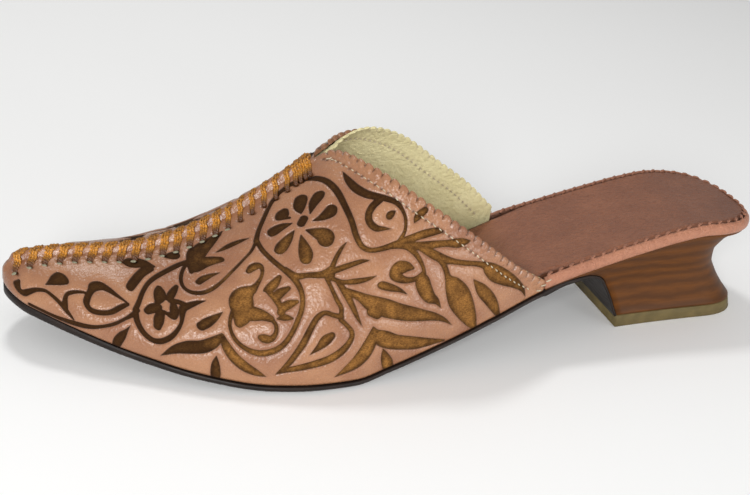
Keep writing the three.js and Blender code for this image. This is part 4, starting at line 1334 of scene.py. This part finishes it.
class SLIPPER_OT_rand(bpy.types.Operator):
    """Rolled rand round the heel seat, whipped to the insole with thread of its own colour"""
    bl_idname = "slipper.rand"
    bl_label = "Rand"

    def execute(self, context):
        sizes, colours = settings()
        leather = plain_leather("rand_calf", colours.rand, colours.rand_deep, 0.4, 0.9, 0.06,
                                holes=colours.hole)
        pitch = sizes.whip_pitch / MM
        # inset from the sole's edge, height as a share of the rand, of its rolled section
        profile = [(1.9, 0.0), (0.9, 0.0), (0.25, 0.05), (-0.05, 0.2), (-0.15, 0.42), (-0.1, 0.62),
                   (0.1, 0.8), (0.45, 0.94), (0.9, 1.03), (1.4, 1.06), (1.8, 1.0), (2.1, 0.86), (2.2, 0.5)]
        flat, along = seat_line(0.0, 0.7)
        outward = np.stack([along[:, 1], -along[:, 0]], axis=1)
        inward_sign = np.sign(((SEAT_MIDDLE - flat) * outward).sum(axis=1, keepdims=True))
        inward = outward * inward_sign
        x = np.minimum(flat[:, 0], QUARTER_END - 0.8)
        low, high = deck(x) + GAP, insole_top(x)
        run = np.concatenate([[0], np.cumsum(np.linalg.norm(np.diff(flat, axis=0), axis=1))])
        pinch = 0.22 * np.abs(np.cos(math.pi * run / pitch)) ** 3
        rings = []
        for inset, share in profile:
            place_xy = flat + inward * inset
            top = step_up(share, 0.7, 1.0)
            z = mix(low, high, share) - pinch * top
            rings.append(np.stack([place_xy[:, 0], place_xy[:, 1], z], axis=1))
        rings = np.stack(rings, axis=1)
        shell = Shell()
        # Painted shade: the rand's underside and its inner top, tucked under the insole, are darkened
        soil = np.array([0.55, 0.4, 0.12, 0, 0, 0, 0, 0, 0, 0.1, 0.35, 0.7, 0.9])
        points, faces = loft(rings, flip=True)
        shell.add(points, faces, soil=np.tile(soil, len(flat)))
        shell.piece("rand_band", leather, "rand_leather", "rand")

        # The whip thread's dark colour is also its painted shade
        thread = twisted_thread("whip_cotton", colours.rand, colours.insole_deep)
        stitches, holes = Shell(), Shell()
        line, way = seat_line(SEAT_LINE_INSET, SEAT_LINE_STEP)
        count = int(len(line) * SEAT_LINE_STEP / pitch)
        for k in range(count):
            i = int((k + 0.5) * pitch / SEAT_LINE_STEP)
            toward = way[i]
            side = np.array([-toward[1], toward[0]])
            if (SEAT_MIDDLE - line[i]) @ side < 0:
                side = -side
            z = float(insole_top(line[i][0])) + 0.08
            start = line[i] - toward * WHIP_REACH - side * 0.55
            end = line[i] + toward * WHIP_REACH + side * 0.75
            rise = float(insole_top(end[0]) - insole_top(start[0])) / 2
            # Painted shade: both strands are darkened a little, and the inner strand more
            for shift in (-WHIP_SPREAD, WHIP_SPREAD):
                offset = side * shift
                stitches.add(*stitch((*(start + offset), z - rise), (*(end + offset), z + rise),
                                     (0, 0, 1), WHIP_RADIUS, 0.5), soil=0.1 + 0.2 * (shift > 0))
            # Painted shadow: a dark bead beside each whip stitch stands for the shadow of its hole
            centre = np.array([*(line[i] + side * 1.25 + toward * 1.5), z - 0.12 + rise])
            points, faces = bead(centre, np.array([*toward, 0]), np.array([*side, 0]),
                                 np.array([0, 0, 1.0]), WHIP_HOLE_SHADOW)
            holes.add(points, faces, soil=1)
        stitches.piece("whip_stitches", thread, "rand_leather", "rand")
        dark = plain_leather("stitch_hole_shadow", colours.hole, colours.hole, 0.8, holes=colours.hole)
        holes.piece("whip_hole_shadows", dark, "rand_leather", "rand")
        return {"FINISHED"}


# ---------------------------------------------------------------- outsole, heel and top lift
def middle_and_half(x, inset, shift=0.0):
    """Middle and half width of the sole between its edges."""
    left, right = float(edge(x, LATERAL, inset)) + shift, float(edge(x, MEDIAL, inset)) + shift
    return (left + right) / 2, (left - right) / 2


def breast_places(count):
    """Points down the heel's breast, with their forward way, inset and shift."""
    level = np.linspace(len(HEEL) - 1, 0, count)
    low, high = np.maximum(level - 0.05, 0), np.minimum(level + 0.05, len(HEEL) - 1)
    dx, dz = heel_front(high) - heel_front(low), heel_rise(high) - heel_rise(low)
    ways = unit(np.stack([dz, -dx], axis=1))
    return heel_front(level), heel_rise(level), ways, heel_inset(level), heel_shift(level)


class SLIPPER_OT_outsole(bpy.types.Operator):
    """Thin dark leather outsole, which runs on down the breast of the heel"""
    bl_idname = "slipper.outsole"
    bl_label = "Outsole"

    def execute(self, context):
        colours = settings()[1]
        leather = moulded_rubber("outsole_leather", colours.outsole, colours.outsole_deep, 0.5)
        across = np.array([1, 0.985, 0.9, 0.6, 0.2, -0.2, -0.6, -0.9, -0.985, -1.0])
        toe = LENGTH - TOE_SET_BACK
        xs = np.concatenate([toe - TIP_RADIUS * (1 - np.cos(np.linspace(0.05, math.pi / 2, 14))),
                             np.arange(toe - TIP_RADIUS - 1.5, BREAST_TOP, -1.5), [BREAST_TOP]])
        rings = []
        for x in xs:
            middle, half = middle_and_half(x, set_back(x))
            top, low = float(sole_top(x)), float(underside(x))
            rounding = np.where(np.abs(across) > 0.95, 0.5, 0.0) * np.where(np.abs(across) > 0.99, 1.6, 0.5)
            under = [(x, middle + half * a - EDGE_BEVEL * np.sign(a) * (abs(a) > 0.95), low + r)
                     for a, r in zip(across, rounding)]
            over = [(x, middle + half * a, top) for a in across[::-1]]
            rings.append(over + under)
        fx, fz, ways, inset, shift = breast_places(BREAST_STEPS)
        covers = mix(SOLE, BREAST_COVER, np.minimum(np.linspace(0, COVER_THINNING, len(fx)), 1))
        for x, z, way, cut, slide, cover in zip(fx, fz, ways, inset, shift, covers):
            near = (x + way[0] * GAP, z + way[1] * GAP)
            far = (x + way[0] * (GAP + cover), z + way[1] * (GAP + cover))
            middle, half = middle_and_half(x, cut, slide)
            over = [(near[0], middle + half * a, near[1]) for a in across[::-1]]
            under = [(far[0], middle + half * a, far[1]) for a in across]
            rings.append(over + under)
        shell = Shell()
        points, faces = loft(rings)
        shell.add(points, faces)
        shell.piece("outsole_leather", leather, "outsole_leather", "outsole")
        return {"FINISHED"}


def heel_outline(level):
    """Outline of the heel at a level as x, y points: lateral side forward, medial side back."""
    front, back = heel_front(level), heel_back(level)
    t = np.linspace(0, 1, HEEL_OUTLINE_POINTS)
    x = mix(back, front, t ** 2.2)
    half = plan_half(x) - heel_inset(level)
    turn = np.clip((half - (x - back)) / half, 0, 1)
    wide = half * (1 - turn ** SEAT_POWER) ** (1 / SEAT_POWER)
    middle = plan_centre(x) + heel_shift(level)
    lateral = np.stack([x, middle + wide], axis=1)
    medial = np.stack([x, middle - wide], axis=1)[::-1]
    return np.concatenate([lateral, medial])


def heel_ring(level, floor):
    flat = heel_outline(level)
    share = (heel_rise(level) - floor) / (deck(heel_front(level)) - floor)
    z = floor + (deck(flat[:, 0]) - floor) * share
    return np.column_stack([flat, z])


class SLIPPER_OT_heel(bpy.types.Operator):
    """Sculpted banded heel with its khaki top lift"""
    bl_idname = "slipper.heel"
    bl_label = "Heel"

    def execute(self, context):
        colours = settings()[1]
        floor = LIFT + GAP
        rings = [heel_ring(level, floor) for level in np.linspace(0, len(HEEL) - 1, HEEL_LEVELS)]
        last = rings[-1].copy()
        last[:, 2] = deck(last[:, 0])
        shell = Shell()
        points, faces = loft(rings + [last])
        shell.add(points, faces)
        shell.piece("heel_block", stained_wood(colours), "heel_wood", "heel")

        lift = Shell()
        outline = heel_outline(0)
        rings = []
        # height and how far the section is drawn in at it
        for z, draw in ((0.0, 0.35), (0.25, 0.0), (LIFT - 0.2, 0.0), (LIFT, 0.25)):
            flare = LIFT_FLARE * (1 - z / LIFT) * np.maximum(0, 1 - outline[:, 0] / 40)
            centre = outline.mean(axis=0)
            inward = unit(centre - outline) * draw
            rings.append(np.column_stack([outline[:, 0] - flare + inward[:, 0], outline[:, 1] + inward[:, 1],
                                          np.full(len(outline), z)]))
        points, faces = loft(rings)
        lift.add(points, faces)
        rubber = moulded_rubber("top_lift_rubber", colours.lift, colours.lift_deep, 0.65)
        lift.piece("top_lift_rubber", rubber, "lift_rubber", "top_lift")
        return {"FINISHED"}


# ---------------------------------------------------------------- stage
CAMERA = {"x": 267.7, "y": 323.9, "z": 196.3, "yaw": -22.12, "pitch": 25.9, "roll": 8.23}
LENS = 55.08
SENSOR = 36
SHIFT = (-0.037, -0.0018)
LIT_MIDDLE = (0.04, 0.0, 0.03)
# Studio lights in the frame's metres: name, place, width, watts
LIGHTS = (
    ("key", (0.42, 0.80, 0.42), 0.35, 7.0),
    ("top", (0.144, -0.51, 1.0), 0.2, 3),
    ("low", (-0.50, 0.67, 0.08), 0.2, 1.9),
)
SKY = 0.42
FLOOR_REACH = 3.0


def pose_matrix(right, up, back, where):
    """Matrix of a camera or light with these axes at a place."""
    matrix = Matrix.Identity(4)
    for column, vector in enumerate((right, up, back, where)):
        for row in range(3):
            matrix[row][column] = vector[row]
    return matrix


def camera_matrix():
    yaw, pitch, roll = (math.radians(CAMERA[k]) for k in ("yaw", "pitch", "roll"))
    forward = np.array([math.sin(yaw) * math.cos(pitch), -math.cos(yaw) * math.cos(pitch), -math.sin(pitch)])
    right = unit(np.cross(forward, (0, 0, 1)))
    up = np.cross(right, forward)
    across = math.cos(roll) * right + math.sin(roll) * up
    upward = math.cos(roll) * up - math.sin(roll) * right
    return pose_matrix(across, upward, -forward, place([CAMERA[k] for k in ("x", "y", "z")]))


def area_light(name, where, width, power):
    light = bpy.data.lights.new(name, "AREA")
    light.shape, light.size, light.energy = "DISK", width, power
    made = bpy.data.objects.new(name, light)
    bpy.context.scene.collection.objects.link(made)
    back = unit(np.array(where, float) - np.array(LIT_MIDDLE, float))
    right = unit(np.cross((0, 0, 1), back))
    up = np.cross(back, right)
    made.matrix_world = pose_matrix(right, up, back, where)


class SLIPPER_OT_stage(bpy.types.Operator):
    """Pale floor, soft studio light and the camera"""
    bl_idname = "slipper.stage"
    bl_label = "Stage"

    def execute(self, context):
        colours = settings()[1]
        scene = context.scene
        scene.view_settings.view_transform = "Standard"
        mesh = bpy.data.meshes.new("floor")
        corners = [(a * FLOOR_REACH, b * FLOOR_REACH, 0) for a, b in ((-1, -1), (1, -1), (1, 1), (-1, 1))]
        mesh.from_pydata(corners, [], [(0, 1, 2, 3)])
        made, _, shader, _ = begin_material("painted_floor", Roughness=0.85)
        shader.inputs["Base Color"].default_value = rgba(colours.floor)
        mesh.materials.append(made)
        floor = bpy.data.objects.new("floor", mesh)
        scene.collection.objects.link(floor)
        world = bpy.data.worlds.new("studio")
        world.use_nodes = True
        colour, strength = world.node_tree.nodes["Background"].inputs[:2]
        colour.default_value, strength.default_value = (1, 1, 1, 1), SKY
        scene.world = world
        for light in LIGHTS:
            area_light(*light)
        camera = bpy.data.cameras.new("camera")
        camera.lens, camera.sensor_width = LENS, SENSOR
        camera.shift_x, camera.shift_y = SHIFT
        camera.clip_start = 0.01
        view = bpy.data.objects.new("camera", camera)
        scene.collection.objects.link(view)
        view.matrix_world = camera_matrix()
        scene.camera = view
        return {"FINISHED"}


# ---------------------------------------------------------------- panel and running order
OPERATORS = (SLIPPER_OT_quarters, SLIPPER_OT_lining, SLIPPER_OT_lacing, SLIPPER_OT_collar_stitching,
             SLIPPER_OT_insole, SLIPPER_OT_rand, SLIPPER_OT_outsole, SLIPPER_OT_heel, SLIPPER_OT_stage)


class SLIPPER_PT_panel(bpy.types.Panel):
    """The slipper's sizes, colours and pieces"""
    bl_idname = "SLIPPER_PT_panel"
    bl_label = "Babouche slipper"
    bl_space_type = "VIEW_3D"
    bl_region_type = "UI"
    bl_category = "Slipper"

    def draw(self, context):
        for group in (context.scene.slipper_sizes, context.scene.slipper_colours):
            for name in group.__annotations__:
                self.layout.prop(group, name)
        for operator in OPERATORS:
            self.layout.operator(operator.bl_idname)


CLASSES = (SlipperSizes, SlipperColours, *OPERATORS, SLIPPER_PT_panel)


def register():
    for item in CLASSES:
        bpy.utils.register_class(item)
    bpy.types.Scene.slipper_sizes = bpy.props.PointerProperty(type=SlipperSizes)
    bpy.types.Scene.slipper_colours = bpy.props.PointerProperty(type=SlipperColours)


def unregister():
    del bpy.types.Scene.slipper_colours
    del bpy.types.Scene.slipper_sizes
    for item in reversed(CLASSES):
        bpy.utils.unregister_class(item)


def main():
    register()
    bpy.ops.slipper.quarters()
    bpy.ops.slipper.lining()
    bpy.ops.slipper.lacing()
    bpy.ops.slipper.collar_stitching()
    bpy.ops.slipper.insole()
    bpy.ops.slipper.rand()
    bpy.ops.slipper.outsole()
    bpy.ops.slipper.heel()
    bpy.ops.slipper.stage()


if __name__ == "__main__":
    main()
